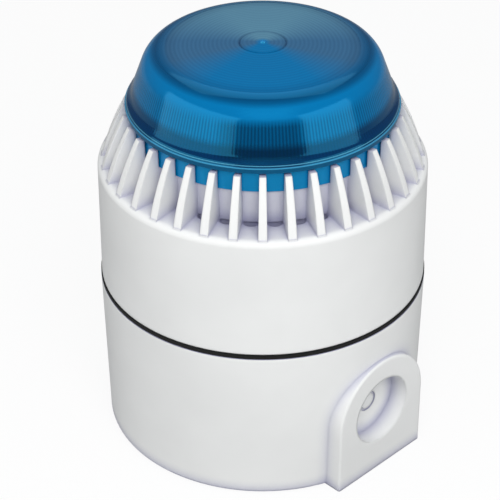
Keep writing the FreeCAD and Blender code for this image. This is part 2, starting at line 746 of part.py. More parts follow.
def add_entry_pads(body):
    """Arch-topped pads on +X and -X, each with a blind M20 entry behind a thin membrane."""
    half, middle = cell("pad_half_width"), cell("entry_height")
    membrane_inside = pad_reach - cell("entry_depth") - cell("membrane")
    depth = cell("entry_depth") + cell("membrane")
    sole = rectangle(new_sketch(body, "YZ_Plane", membrane_inside), -half, ZERO, half, middle)
    arch = circle(new_sketch(body, "YZ_Plane", membrane_inside), ZERO, middle, half)
    polar(body, [pad(body, sole, depth), pad(body, arch, depth)], 2)

    reach = pad_reach.value

    def on_pad_face(edge):
        places = edge_points(edge)
        return all(abs(abs(at.x) - reach) < NEAR for at in places) and max(at.z for at in places) > NEAR

    round_edges(body, cell("pad_round"), on_pad_face)
    recess = circle(new_sketch(body, "YZ_Plane", pad_reach), ZERO, middle, cell("entry_radius"))
    cut = pocket(body, recess, cell("entry_depth"))
    mark = new_sketch(body, "YZ_Plane", membrane_inside + cell("membrane"))
    circle(mark, ZERO, middle, cell("knockout_ring_radius"))
    circle(mark, ZERO, middle, cell("knockout_ring_radius") - cell("membrane"))
    groove_ring = pocket(body, mark, cell("membrane") / 2)
    polar(body, [cut, groove_ring], 2)


def add_rear_entry(body):
    floor, rise = cell("base_floor"), cell("rear_collar")
    outside = cell("entry_radius") + cell("entry_boss_wall")
    pad(body, circle(new_sketch(body, "XY_Plane", floor / 2), ZERO, ZERO, outside), floor / 2 + rise)
    hole = circle(new_sketch(body, "XY_Plane", floor + rise), ZERO, ZERO, cell("entry_radius"))
    pocket(body, hole, floor + rise)


def add_fixing_slots(body):
    radius = cell("fixing_slot_radius")
    half_run = cell("fixing_slot_length") / 2 - radius
    sketch = new_sketch(body, "XY_Plane", cell("base_floor"))
    slot_outline(sketch, ZERO, cell("fixing_centres") / 2, half_run, radius)
    polar(body, [pocket(body, sketch, cell("base_floor"))], 2)


def add_base_lugs(body):
    """Inward lugs of the bayonet, each with a stop that the head's lug rests against when it is locked."""
    inside = spigot_radius + cell("lug_gap")
    outside = base_bore(base_lug_low) + cell("base_wall") / 2
    low, top = base_lug_low, base_lug_top
    corners = ((inside, low), (outside, low), (outside, top), (inside, top))
    lug = sector(body, corners, cell("base_lug_angle"))
    half_angle = cell("head_lug_angle") / 2
    reach = base_bore(base_lug_low) * sine(half_angle) + cell("lug_gap")
    near = inside * cosine(half_angle)
    depth = base_bore(base_lug_low) - inside
    width = cell("lug_stop_width")
    stop = rectangle(new_sketch(body, "XY_Plane", head_lug_low), near, -(reach + width), near + depth, -reach)
    polar(body, [lug, pad(body, stop, base_lug_top - head_lug_low)], cell("lug_count"))


def make_seam_seal():
    body = new_body("seam_seal")
    outside, inside = seal_radius, seal_radius - cell("seal_width")
    low, high = cell("base_height"), head_bottom - cell("seal_play")
    revolve(body, ((inside, low), (outside, low), (outside, high), (inside, high)))


# ---------------------------------------------------------------- terminals and contacts in the base

contact_line = cell("carrier_near") + cell("contact_inset")
contact_foot = contact_line - cell("contact_reach")
contact_block_near = contact_foot + cell("contact_strip")
contact_block_far = contact_block_near + cell("contact_block_depth")
terminal_near = contact_block_far + cell("terminal_spacer")
terminal_far = terminal_near + cell("terminal_depth")
terminal_screw_line = terminal_far - cell("terminal_screw_inset")
terminal_first = -(cell("terminal_ways") - 1) * cell("terminal_pitch") / 2
terminal_top = carrier_top + cell("terminal_height")
wire_hole_low = carrier_top + cell("wire_hole_sill")
rail_under = head_bottom - cell("rail_thickness")


def make_terminal_carrier():
    body = new_body("terminal_carrier")
    half = carrier_half_length
    near, low = cell("carrier_near"), cell("carrier_height")
    plate = rectangle(new_sketch(body, "XY_Plane", low), -half, near, half, carrier_far)
    pad(body, plate, cell("carrier_plate"))
    holes = new_sketch(body, "XY_Plane", carrier_top)
    for side in (-1, 1):
        circle(holes, side * carrier_pillar_x, carrier_middle, clearance_hole)
    pocket(body, holes, cell("carrier_plate"))

    def is_corner(edge):
        return is_upright(edge) and abs(edge_points(edge)[0].x) > half.value - NEAR

    round_edges(body, cell("carrier_round"), is_corner)


def make_terminal_block():
    body = new_body("terminal_block")
    half = terminal_length / 2
    case = rectangle(new_sketch(body, "XY_Plane", carrier_top), -half, terminal_near, half, terminal_far)
    pad(body, case, cell("terminal_height"))
    wire_half, wire_height = cell("wire_hole_width") / 2, cell("wire_hole_height")
    mouth = rectangle(
        new_sketch(body, "XZ_Plane", -terminal_far),
        terminal_first - wire_half,
        wire_hole_low,
        terminal_first + wire_half,
        wire_hole_low + wire_height,
    )
    wire = pocket(body, mouth, cell("wire_hole_depth"), upwards=True)
    top = new_sketch(body, "XY_Plane", terminal_top)
    tube = circle(top, terminal_first, terminal_screw_line, cell("terminal_screw_bore"))
    screw = pocket(body, tube, terminal_top - wire_hole_low - wire_height / 2)
    linear(body, [wire, screw], "X_Axis", cell("terminal_ways"), cell("terminal_pitch"))


def terminal_places():
    for number in range(int(cell("terminal_ways").value)):
        yield number, terminal_first + number * cell("terminal_pitch")


def make_terminal_clamps():
    gap = cell("fit_gap")
    depth = cell("wire_hole_depth")
    lengths = (cell("wire_hole_width") - 2 * gap, depth - 2 * gap, cell("clamp_thickness"))
    middle = terminal_far - depth / 2
    members = [block(f"clamp_{n}", lengths, x, middle, wire_hole_low) for n, x in terminal_places()]
    group("terminal_clamps", members)


def make_terminal_screws():
    members = []
    line = terminal_screw_line
    head_radius, head_height = cell("terminal_head_radius"), cell("terminal_head_height")
    head_low = terminal_top - cell("terminal_screw_sunk")
    shank_low = wire_hole_low + cell("terminal_screw_reach")
    shank_length = head_low + head_height / 2 - shank_low
    drive_depth = cell("terminal_drive_depth")
    drive_size = (3 * head_radius, cell("terminal_drive_width"), drive_depth)
    drive_low = head_low + head_height - drive_depth
    for number, across in terminal_places():
        head = cylinder(f"terminal_head_{number}", head_radius, head_height, across, line, head_low)
        radius = cell("terminal_shank_radius")
        shank = cylinder(f"terminal_shank_{number}", radius, shank_length, across, line, shank_low)
        drive = block(f"terminal_drive_{number}", drive_size, across, line, drive_low)
        solid = fused(f"terminal_pin_{number}", [head, shank])
        members.append(difference(f"terminal_screw_{number}", solid, drive))
    group("terminal_screws", members)


def make_contact_block():
    body = new_body("contact_block")
    half = cell("contact_ways") * cell("contact_pitch") / 2
    sketch = new_sketch(body, "XY_Plane", carrier_top)
    pad(
        body,
        rectangle(sketch, -half, contact_block_near, half, contact_block_far),
        cell("contact_block_height"),
    )
    round_edges(body, cell("contact_block_round"), is_upright)


def make_contact_springs():
    body = new_body("contact_springs")
    strip = cell("contact_strip")
    low = carrier_top
    bend = carrier_top + cell("contact_block_height") + cell("contact_bend_rise")
    crest = rail_under - cell("contact_gap")
    tail = contact_line + cell("contact_tail")
    tail_top = crest - cell("contact_tail_drop")
    first = -(cell("contact_ways") - 1) * cell("contact_pitch") / 2
    profile = outline(
        new_sketch(body, "YZ_Plane", first),
        (
            (contact_foot, low),
            (contact_foot + strip, low),
            (contact_foot + strip, bend),
            (contact_line, crest - strip),
            (tail, tail_top - strip),
            (tail, tail_top),
            (contact_line, crest),
            (contact_foot, bend + strip),
        ),
    )
    leaf = pad(body, profile, cell("contact_strip_width"), both_ways=True)
    linear(body, [leaf], "X_Axis", cell("contact_ways"), cell("contact_pitch"))


def make_carrier_screws():
    members = []
    for side in (-1, 1):
        across = side * carrier_pillar_x
        members.append(pan_screw(f"carrier_screw_{side + 1}", across, carrier_middle, carrier_top, True))
    group("carrier_screws", members)


# ---------------------------------------------------------------- head housing

link_board_line = collar_bore - cell("link_inset")
link_board_half = cell("link_width") / 2


def link_opening(body, top, depth):
    """Slot that the link board passes through."""
    gap = cell("link_gap")
    half = cell("board") / 2 + gap
    slot = rectangle(
        new_sketch(body, "XY_Plane", top),
        -(link_board_half + gap),
        -(link_board_line + half),
        link_board_half + gap,
        -(link_board_line - half),
    )
    pocket(body, slot, depth)


def make_head_housing():
    body = new_body("head_housing")
    foot, top, wall = head_foot_radius, head_top_radius, cell("head_wall")
    collar = collar_radius
    collar_low = shoulder_under - cell("collar_drop")
    ring_top = ledge + cell("lens_ring_rise")
    revolve(
        body,
        (
            (foot, head_bottom),
            (top, shoulder),
            (collar, shoulder),
            (collar, ledge),
            (lens_spigot, ledge),
            (lens_spigot, ring_top),
            (lens_ring_bore, ring_top),
            (lens_ring_bore, ledge),
            (0, ledge),
            (0, deck_under),
            (collar_bore, deck_under),
            (collar_bore, collar_low),
            (collar, collar_low),
            (collar, shoulder_under),
            (top - wall, shoulder_under),
            (foot - wall, head_bottom),
        ),
    )
    round_edges(body, cell("shoulder_round"), lambda edge: is_ring_at(edge, top, shoulder))
    seal_low = ledge + cell("lens_groove_lift")
    seal_high = seal_low + cell("lens_groove_width")
    bottom, outside = lens_spigot - cell("lens_groove_depth"), cell("skirt_radius")
    groove(body, ((bottom, seal_low), (outside, seal_low), (outside, seal_high), (bottom, seal_high)))
    add_head_posts(body)
    link_opening(body, ledge, cell("deck_plate"))
    add_sound_slots(body)
    add_fins(body)


def turned_sketch(body, lift, degrees):
    sketch = new_sketch(body, "XY_Plane", lift)
    sketch.setExpression("AttachmentOffset.Rotation.Angle", degrees.text)
    return sketch


def add_fins(body):
    """Radial fins, drawn as drafted wedges and then trimmed by one turned cut to their bowed outer edge."""
    sink = cell("shoulder_plate") / 2
    inner, outer = collar_radius - sink, fin_root_radius + cell("fin_trim")
    thin, thick = cell("fin_inner_thickness") / 2, cell("fin_outer_thickness") / 2
    wedge = outline(
        turned_sketch(body, shoulder - sink, cell("fin_offset")),
        ((inner, -thin), (outer, -thick), (outer, thick), (inner, thin)),
    )
    fin = pad(body, wedge, cell("fin_rise") + sink, draft=-cell("fin_draft"))
    polar(body, [fin], cell("fin_count"))
    clear = cell("skirt_radius") + cell("fin_skirt_gap")
    above = fin_tip + sink
    groove(body, ((lens_spigot, ledge), (clear, ledge), (clear, above), (lens_spigot, above)))
    beyond = 2 * fin_root_radius
    start = shoulder + cell("fin_trim") / 6
    groove(
        body,
        (
            (fin_root_radius, start),
            (beyond, start),
            (beyond, above),
            (fin_tip_radius, above),
            (fin_tip_radius, fin_tip, cell("fin_bow"), -1),
        ),
    )


def add_sound_slots(body):
    half_pitch = cell("fin_offset") + 180 / cell("fin_count")
    half, inner = cell("slot_half_width"), collar_radius - cell("collar_wall") / 4
    straight = collar_radius + cell("slot_straight")
    slot = outline(
        turned_sketch(body, shoulder, half_pitch),
        ((inner, -half), (straight, -half, cell("slot_end_round"), 1), (straight, half), (inner, half)),
    )
    polar(body, [pocket(body, slot, cell("shoulder_plate"))], cell("fin_count"))


def add_head_posts(body):
    """Posts for the back cover, pillars for the baffle and pillars for the beacon board."""
    sink = cell("shoulder_plate") / 4
    post_length = shoulder_under - cover_top + sink
    round_posts(body, POST_RING, cell("post_radius"), cover_top, post_length)
    round_holes_up(body, POST_RING, cover_top)
    pillar = cell("pillar_radius")
    round_posts(body, BAFFLE_RING, pillar, baffle_top, cell("baffle_drop") + sink)
    round_holes_up(body, BAFFLE_RING, baffle_top)
    stand = cell("beacon_board_stand")
    round_posts(body, BEACON_RING, pillar, ledge - sink, stand + sink)
    round_holes(body, BEACON_RING, thread_hole, beacon_board_under, stand + cell("deck_plate"))


def round_holes_up(body, ring, low):
    """Screw holes drilled upwards from the end of each post."""
    pocket(body, circles(body, low, ring, thread_hole), cell("screw_length"), upwards=True)


# ---------------------------------------------------------------- back cover


def make_back_cover():
    body = new_body("back_cover")
    outside = head_bore - cell("cover_gap")
    spigot = spigot_radius
    inside = spigot - cell("spigot_wall")
    low = head_bottom - cell("spigot_drop")
    revolve(
        body,
        (
            (outside, head_bottom),
            (outside, cover_top),
            (0, cover_top),
            (0, head_bottom),
            (inside, head_bottom),
            (inside, low),
            (spigot, low),
            (spigot, head_bottom),
        ),
    )
    lug_outside = base_bore(head_lug_low) - cell("lug_gap")
    lug_inside = spigot - cell("spigot_wall") / 2
    lug = sector(
        body,
        (
            (lug_inside, head_lug_low),
            (lug_outside, head_lug_low),
            (lug_outside, head_lug_top),
            (lug_inside, head_lug_top),
        ),
        cell("head_lug_angle"),
    )
    polar(body, [lug], cell("lug_count"))
    sink = cell("cover_plate") / 4
    pillar = cell("pillar_radius")
    round_posts(body, BOARD_RING, pillar, cover_top - sink, cell("board_stand") + sink)
    hole_depth = cell("screw_length") - cell("board") + cell("screw_end_gap")
    round_holes(body, BOARD_RING, thread_hole, board_under, hole_depth)
    round_holes(body, POST_RING, clearance_hole, cover_top, cell("cover_plate"))
    gap = cell("fit_gap")
    window = (switch_span / 2 + gap, cell("switch_width") / 2 + gap)
    middle = -cell("switch_place")
    top = new_sketch(body, "XY_Plane", cover_top)
    pocket(
        body,
        rectangle(top, middle - window[1], -window[0], middle + window[1], window[0]),
        cell("cover_plate"),
    )
    hole_radius = cell("volume_rotor_radius") + cell("volume_hole_gap")
    hole = circle(new_sketch(body, "XY_Plane", cover_top), cell("volume_place"), ZERO, hole_radius)
    pocket(body, hole, cell("cover_plate"))


def make_contact_rails():
    """Brass arcs under the back cover, each as long as its contact's sweep while the head turns."""
    members = []
    spare = cell("rail_spare")
    half_width = cell("contact_strip_width") / 2
    for number in range(int(cell("contact_ways").value)):
        across = (number - (cell("contact_ways") - 1) / 2) * cell("contact_pitch")
        radius = Size(f"sqrt({across.text} * {across.text} + {contact_line.text} * {contact_line.text})")
        angle = Size(f"(atan2({contact_line.text}; {across.text}) / 1 deg)")
        height = cell("rail_thickness")
        outer = cylinder(f"rail_outer_{number}", radius + half_width, height, base=rail_under)
        outer.setExpression("Angle", (cell("twist") + 2 * spare).text)
        outer.setExpression("Placement.Rotation.Angle", (angle - cell("twist") - spare).text)
        inner = cylinder(f"rail_inner_{number}", radius - half_width, height, base=rail_under)
        members.append(difference(f"rail_{number}", outer, inner))
    group("contact_rails", members)


# ---------------------------------------------------------------- sounder board

switch_span = cell("switch_ways") * cell("switch_pitch") + cell("switch_ends")
switch_low = cover_top - cell("switch_sunk")
slider_gap = cell("fit_gap")
slider_slot = cell("slider_length") + cell("slider_travel") + 2 * slider_gap
slider_start = -cell("switch_place") - slider_slot / 2 + slider_gap
control_low = head_bottom + cell("control_recess")
volume_body_low = cover_top + cell("volume_body_lift")


def make_sounder_board():
    body = new_body("sounder_board")
    sketch = new_sketch(body, "XY_Plane", board_under)
    pad(body, circle(sketch, ZERO, ZERO, board_radius), cell("board"))
    post_hole = cell("post_radius") + cell("fit_gap")
    round_holes(body, POST_RING, post_hole, board_top, cell("board"))
    round_holes(body, BOARD_RING, clearance_hole, board_top, cell("board"))


def slider_line(number):
    return (number - (cell("switch_ways") - 1) / 2) * cell("switch_pitch")


def make_tone_switch_body():
    body = new_body("tone_switch_body")
    half_width, half_span = cell("switch_width") / 2, switch_span / 2
    middle = -cell("switch_place")
    low = new_sketch(body, "XY_Plane", switch_low)
    case = rectangle(low, middle - half_width, -half_span, middle + half_width, half_span)
    pad(body, case, board_under - switch_low)
    half = cell("slider_width") / 2 + slider_gap
    line = slider_line(0)
    slot = rectangle(
        new_sketch(body, "XY_Plane", switch_low),
        slider_start - slider_gap,
        line - half,
        slider_start - slider_gap + slider_slot,
        line + half,
    )
    first = pocket(body, slot, cell("slider_slot_depth"), upwards=True)
    linear(body, [first], "Y_Axis", cell("switch_ways"), cell("switch_pitch"))


def make_tone_sliders():
    height = switch_low + cell("slider_slot_depth") - slider_gap - control_low
    lengths = (cell("slider_length"), cell("slider_width"), height)
    across = slider_start + lengths[0] / 2
    for number in range(int(cell("switch_ways").value)):
        item = block(f"slider_{number + 1}", lengths, across, slider_line(number), control_low)
        single(f"tone_slider_{number + 1}", item)


def make_volume_control():
    body = new_body("volume_body")
    half = cell("volume_body_width") / 2
    middle = cell("volume_place")
    low = new_sketch(body, "XY_Plane", volume_body_low)
    pad(body, rectangle(low, middle - half, -half, middle + half, half), board_under - volume_body_low)
    bore = circle(new_sketch(body, "XY_Plane", volume_body_low), middle, ZERO, cell("volume_bore"))
    pocket(body, bore, cell("volume_bore_depth"), upwards=True)


def make_volume_rotor():
    gap = cell("fit_gap")
    middle = cell("volume_place")
    low = control_low
    disc_top = volume_body_low - gap
    disc = cylinder("rotor_disc", cell("volume_rotor_radius"), disc_top - low, middle, ZERO, low)
    spindle_radius = cell("volume_bore") - gap / 2
    spindle = cylinder("rotor_spindle", spindle_radius, cell("volume_bore_depth"), middle, ZERO, disc_top)
    blade = (3 * cell("volume_rotor_radius"), cell("volume_drive_width"), cell("volume_drive_depth"))
    drive = block("rotor_drive", blade, middle, ZERO, low)
    single("volume_rotor", difference("rotor", fused("rotor_solid", [disc, spindle]), drive))


def wound_coil(label, radius, waist, height):
    """Former with two flanges, standing on z = 0 until it is placed."""
    body = new_body(label)
    flange = cell("coil_flange")
    revolve(
        body,
        (
            (0, 0),
            (radius, 0),
            (radius, flange),
            (waist, flange),
            (waist, height - flange),
            (radius, height - flange),
            (radius, height),
            (0, height),
        ),
    )
    return body


SMALL_PARTS = 8
SMALL_PART_START = 20
SUPPLY_CANS = 2


def make_board_parts():
    members = []
    for number in range(SUPPLY_CANS):
        angle = number * cell("supply_can_step")
        across, along = tall_part_circle * cosine(angle), tall_part_circle * sine(angle)
        radius, height = cell("supply_can_radius"), cell("supply_can_height")
        members.append(cylinder(f"supply_can_{number}", radius, height, across, along, board_top))
    group("supply_capacitors", members)
    coil = wound_coil(
        "boost_coil", cell("boost_coil_radius"), cell("boost_coil_waist"), cell("boost_coil_height")
    )
    place(coil, -tall_part_circle, ZERO, board_top)
    chip_size = (cell("chip_length"), cell("chip_width"), cell("chip_height"))
    single("controller_chip", block("chip_case", chip_size, ZERO, ZERO, board_top))
    small_size = (cell("small_part_length"), cell("small_part_width"), cell("small_part_height"))
    places = ring_places(cell("small_part_circle"), SMALL_PARTS, SMALL_PART_START)
    members = [block(f"small_part_{n}", small_size, x, y, board_top) for n, (x, y) in enumerate(places)]
    group("board_chips", members)


def make_link_board():
    length = beacon_board_top + cell("link_overlap") - board_top
    lengths = (cell("link_width"), cell("board"), length)
    single("link_board", block("link_strip", lengths, ZERO, -link_board_line, board_top))


# ---------------------------------------------------------------- sounder


def make_sound_baffle():
    body = new_body("sound_baffle")
    outside = head_top_radius - cell("head_wall") - cell("cover_gap")
    throat = cell("throat_radius")
    mouth = baffle_top + cell("throat_rise")
    revolve(
        body,
        (
            (throat, baffle_under),
            (outside, baffle_under),
            (outside, baffle_top),
            (throat + cell("horn_foot"), baffle_top),
            (throat + cell("horn_flare"), mouth),
            (throat + cell("horn_flare") - cell("horn_edge"), mouth),
        ),
    )
    post_hole, plate = cell("post_radius") + cell("fit_gap"), cell("baffle_plate")
    round_holes(body, POST_RING, post_hole, baffle_top, plate)
    round_holes(body, BAFFLE_RING, clearance_hole, baffle_top, plate)
    link_opening(body, baffle_top, plate)


cup_low = baffle_under - cell("cup_height")
cup_seat = baffle_under - cell("cup_height") / 2
cup_bore = cup_radius - cell("cup_wall")


def make_driver_cup():
    body = new_body("driver_cup")
    outside, bottom = cup_radius, cup_low + cell("cup_floor")
    step = cup_bore - cell("clamp_ring_width")
    revolve(
        body,
        (
            (0, cup_low),
            (outside, cup_low),
            (outside, baffle_under),
            (cup_bore, baffle_under),
            (cup_bore, cup_seat),
            (step, cup_seat),
            (step, bottom),
            (0, bottom),
        ),
    )


def make_driver():
    plate_top = cup_seat + cell("piezo_thickness")
    plate = cylinder("piezo_disc", cell("piezo_radius"), cell("piezo_thickness"), base=cup_seat)
    single("piezo_plate", plate)
    ceramic = cylinder("ceramic_disc", cell("ceramic_radius"), cell("ceramic_thickness"), base=plate_top)
    single("piezo_ceramic", ceramic)
    ring = new_body("driver_clamp_ring")
    outside = cup_bore - cell("fit_gap")
    inside = outside - cell("clamp_ring_width")
    revolve(
        ring,
        ((inside, plate_top), (outside, plate_top), (outside, baffle_under), (inside, baffle_under)),
    )


# ---------------------------------------------------------------- beacon


def make_lens():
    body = new_body("beacon_lens")
    wall, foot = cell("lens_wall"), lens_foot_radius
    flange, step = flange_radius, cell("flange_step")
    edge_top = flange_under + cell("flange_edge")
    first_step = flange - (flange - foot) / 3
    second_step = flange - (flange - foot) * 2 / 3
    corner, corner_top = lens_corner_radius, flange_top + cell("lens_corner_rise")
    inner_corner = corner - wall
    crown = cell("lens_crown")
    crown_radius = (corner * corner + crown * crown) / (2 * crown)
    inner_crown_radius = (inner_corner * inner_corner + crown * crown) / (2 * crown)
    revolve(
        body,
        (
            (skirt_bore, ledge),
            (cell("skirt_radius"), ledge),
            (cell("skirt_radius"), flange_under),
            (flange, flange_under),
            (flange, edge_top),
            (first_step, edge_top),
            (first_step, edge_top + step),
            (second_step, edge_top + step),
            (second_step, flange_top),
            (foot, flange_top),
            (foot - cell("lens_flare_reach"), flange_top + cell("lens_flare_rise")),
            (corner, corner_top, crown_radius, 1),
            (0, corner_top + crown),
            (0, corner_top + crown - wall, inner_crown_radius, -1),
            (inner_corner, corner_top - wall),
            (foot - wall, flange_top),
            (skirt_bore, flange_under),
        ),
    )
    round_edges(body, cell("lens_corner_round"), lambda edge: is_ring_at(edge, corner, corner_top))
    inner_round = cell("lens_corner_round") - wall
    round_edges(body, inner_round, lambda edge: is_ring_at(edge, inner_corner, corner_top - wall))


def make_lens_seal():
    item = doc.addObject("Part::Torus", "lens_ring")
    section = cell("lens_seal_radius")
    item.setExpression("Radius1", (skirt_bore - cell("lens_seal_play") - section).text)
    item.setExpression("Radius2", section.text)
    place(item, ZERO, ZERO, ledge + cell("lens_groove_lift") + cell("lens_groove_width") / 2)
    single("lens_seal", item)


def make_beacon_board():
    body = new_body("beacon_board")
    sketch = new_sketch(body, "XY_Plane", beacon_board_under)
    pad(body, circle(sketch, ZERO, ZERO, beacon_board_radius), cell("board"))
    round_holes(body, BEACON_RING, clearance_hole, beacon_board_top, cell("board"))


def make_reflector():
    body = new_body("reflector")
    bore, wall = cell("reflector_bore"), cell("reflector_wall")
    flat, edge = cell("reflector_flat"), cell("reflector_radius")
    low = beacon_board_top
    dish = low + wall
    rim = dish + cell("reflector_rise")
    revolve(
        body,
        (
            (bore, low),
            (bore + wall, low),
            (bore + wall, dish),
            (flat, dish),
            (edge, rim),
            (edge - wall / 2, rim + wall / 2),
            (flat - wall / 2, dish + wall * 2 / 3),
            (bore, dish + wall * 2 / 3),
        ),
    )


def make_flash_tube():
    """U-shaped discharge tube standing on the beacon board, with a socket round each leg."""
    radius, leg, length = cell("tube_radius"), cell("tube_leg_place"), cell("tube_leg_length")
    low = beacon_board_top
    legs = [cylinder(f"tube_leg_{side + 1}", radius, length, side * leg, ZERO, low) for side in (-1, 1)]
    bend = doc.addObject("Part::Torus", "tube_bend")
    bend.setExpression("Radius1", leg.text)
    bend.setExpression("Radius2", radius.text)
    bend.Angle3 = 180
    bend.Placement.Rotation = FreeCAD.Rotation(FreeCAD.Vector(1, 0, 0), 90)
    place(bend, ZERO, ZERO, low + length)
    single("flash_tube", fused("tube", legs + [bend]))
    members = []
    bore, height = radius + cell("tube_gap"), cell("socket_height")
    for side in (-1, 1):
        outer = cylinder(f"socket_{side + 1}", bore + cell("socket_wall"), height, side * leg, ZERO, low)
        inner = cylinder(f"socket_bore_{side + 1}", bore, height, side * leg, ZERO, low)
        members.append(difference(f"socket_ring_{side + 1}", outer, inner))
    group("tube_sockets", members)


def make_flash_capacitor():
    """Capacitor lying on the beacon board, square to its radius, with a rolled bead near one end."""
    body = new_body("flash_capacitor")
    radius, bead = cell("flash_can_radius"), cell("flash_can_bead")
    end = cell("flash_can_length") / 2
    revolve(
        body,
        (
            (0, -end),
            (radius, -end),
            (radius, end - 5 * bead),
            (radius - bead, end - 4 * bead),
            (radius, end - 3 * bead),
            (radius, end),
            (0, end),
        ),
    )
    body.Placement.Rotation = FreeCAD.Rotation(FreeCAD.Vector(1, -1, 0), 90)
    distance, angle = outer_part_circle, cell("flash_can_angle")
    place(body, distance * cosine(angle), -distance * sine(angle), beacon_board_top + radius)


def make_trigger_coil():
    coil = wound_coil(
        "trigger_coil", cell("trigger_coil_radius"), cell("trigger_coil_waist"), cell("trigger_coil_height")
    )
    place(coil, ZERO, outer_part_circle, beacon_board_top)


# ---------------------------------------------------------------- assembly


def make_all():
    make_base_shell()
    make_seam_seal()
    make_terminal_carrier()
    make_terminal_block()
    make_terminal_clamps()
    make_terminal_screws()
    make_contact_block()
    make_contact_springs()
    make_carrier_screws()
    make_head_housing()
    make_back_cover()
    make_contact_rails()
    screw_ring("back_cover_screws", POST_RING, head_bottom, False)
    make_sounder_board()
    screw_ring("board_screws", BOARD_RING, board_top, True)
    make_tone_switch_body()
    make_tone_sliders()
    make_volume_control()
    make_volume_rotor()
    make_board_parts()
    make_link_board()
    make_sound_baffle()
    screw_ring("baffle_screws", BAFFLE_RING, baffle_under, False)
    make_driver_cup()
    make_driver()
    make_lens()
    make_lens_seal()
    make_beacon_board()
    make_reflector()
    make_flash_tube()
    make_flash_capacitor()
    make_trigger_coil()


def check_document():
    """Stop before anything is written if an object failed or a node has no good solid."""
    for item in doc.Objects:
        if {"Invalid", "Error"} & set(item.State):
            raise RuntimeError(f"{item.Label} failed: {item.State}")
    for item in node_objects:
        shape = item.Shape
        if shape.isNull() or not shape.isValid() or not shape.Solids:
            raise RuntimeError(f"{item.Label} has no good solid")


def write_parts():
    os.makedirs("parts", exist_ok=True)
    for item in node_objects:
        item.Shape.exportStep(os.path.join("parts", f"{item.Label}.step"))
        print(f"{item.Label:20s} solids {len(item.Shape.Solids)} volume {item.Shape.Volume:10.1f}")


make_all()
doc.recompute()
check_document()
write_parts()
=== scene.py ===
"""Looks of a wall alarm sounder with a blue beacon, laid out as a Blender add-on and run as a script."""
import json
import math

import bpy
from bpy.props import (
    FloatProperty,
    FloatVectorProperty,
    IntProperty,
    PointerProperty,
)
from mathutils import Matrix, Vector

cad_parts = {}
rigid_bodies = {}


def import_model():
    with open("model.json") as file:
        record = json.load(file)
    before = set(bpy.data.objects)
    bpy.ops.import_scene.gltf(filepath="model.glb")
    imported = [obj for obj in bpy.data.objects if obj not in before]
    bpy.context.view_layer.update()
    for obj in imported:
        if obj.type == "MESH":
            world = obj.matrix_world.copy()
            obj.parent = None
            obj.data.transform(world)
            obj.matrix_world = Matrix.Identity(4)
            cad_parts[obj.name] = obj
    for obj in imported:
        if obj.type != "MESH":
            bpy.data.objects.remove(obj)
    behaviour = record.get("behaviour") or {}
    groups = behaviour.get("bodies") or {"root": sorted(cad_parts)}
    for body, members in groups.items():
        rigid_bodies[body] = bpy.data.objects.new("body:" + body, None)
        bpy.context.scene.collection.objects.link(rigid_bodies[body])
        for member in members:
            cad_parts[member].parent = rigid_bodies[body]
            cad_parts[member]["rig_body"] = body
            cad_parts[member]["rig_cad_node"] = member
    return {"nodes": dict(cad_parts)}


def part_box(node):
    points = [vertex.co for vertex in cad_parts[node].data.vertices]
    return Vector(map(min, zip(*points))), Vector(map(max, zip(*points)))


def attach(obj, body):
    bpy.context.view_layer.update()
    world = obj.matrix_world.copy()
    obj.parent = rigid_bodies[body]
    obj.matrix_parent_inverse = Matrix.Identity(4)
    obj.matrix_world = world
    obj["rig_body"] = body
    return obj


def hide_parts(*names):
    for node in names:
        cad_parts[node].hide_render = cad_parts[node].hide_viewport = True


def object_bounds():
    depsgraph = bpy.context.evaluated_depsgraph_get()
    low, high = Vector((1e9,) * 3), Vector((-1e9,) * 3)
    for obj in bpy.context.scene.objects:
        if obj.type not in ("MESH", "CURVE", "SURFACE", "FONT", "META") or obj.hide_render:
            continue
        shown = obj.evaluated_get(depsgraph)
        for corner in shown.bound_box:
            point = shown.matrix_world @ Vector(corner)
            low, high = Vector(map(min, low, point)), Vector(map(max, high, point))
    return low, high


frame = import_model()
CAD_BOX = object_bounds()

bl_info = {
    "name": "Wall Sounder Beacon",
    "version": (1, 0, 0),
    "blender": (4, 5, 0),
    "location": "3D View > Sidebar > Sounder",
    "description": "Builds the finished surfaces of a wall sounder with a beacon round its CAD frame",
    "category": "Object",
}

MM = 0.001
FULL_TURN = 2 * math.pi
WHITE = (1, 1, 1, 1)
SAME_POINT = 0.001 * MM


# ---------------------------------------------------------------- sizes and colours


def length(name, text, millimetres):
    return FloatProperty(name=name, description=text, default=millimetres * MM, unit="LENGTH", precision=5)


def colour(name, text, red, green, blue):
    return FloatVectorProperty(
        name=name, description=text, default=(red, green, blue), size=3, subtype="COLOR", min=0, max=1
    )


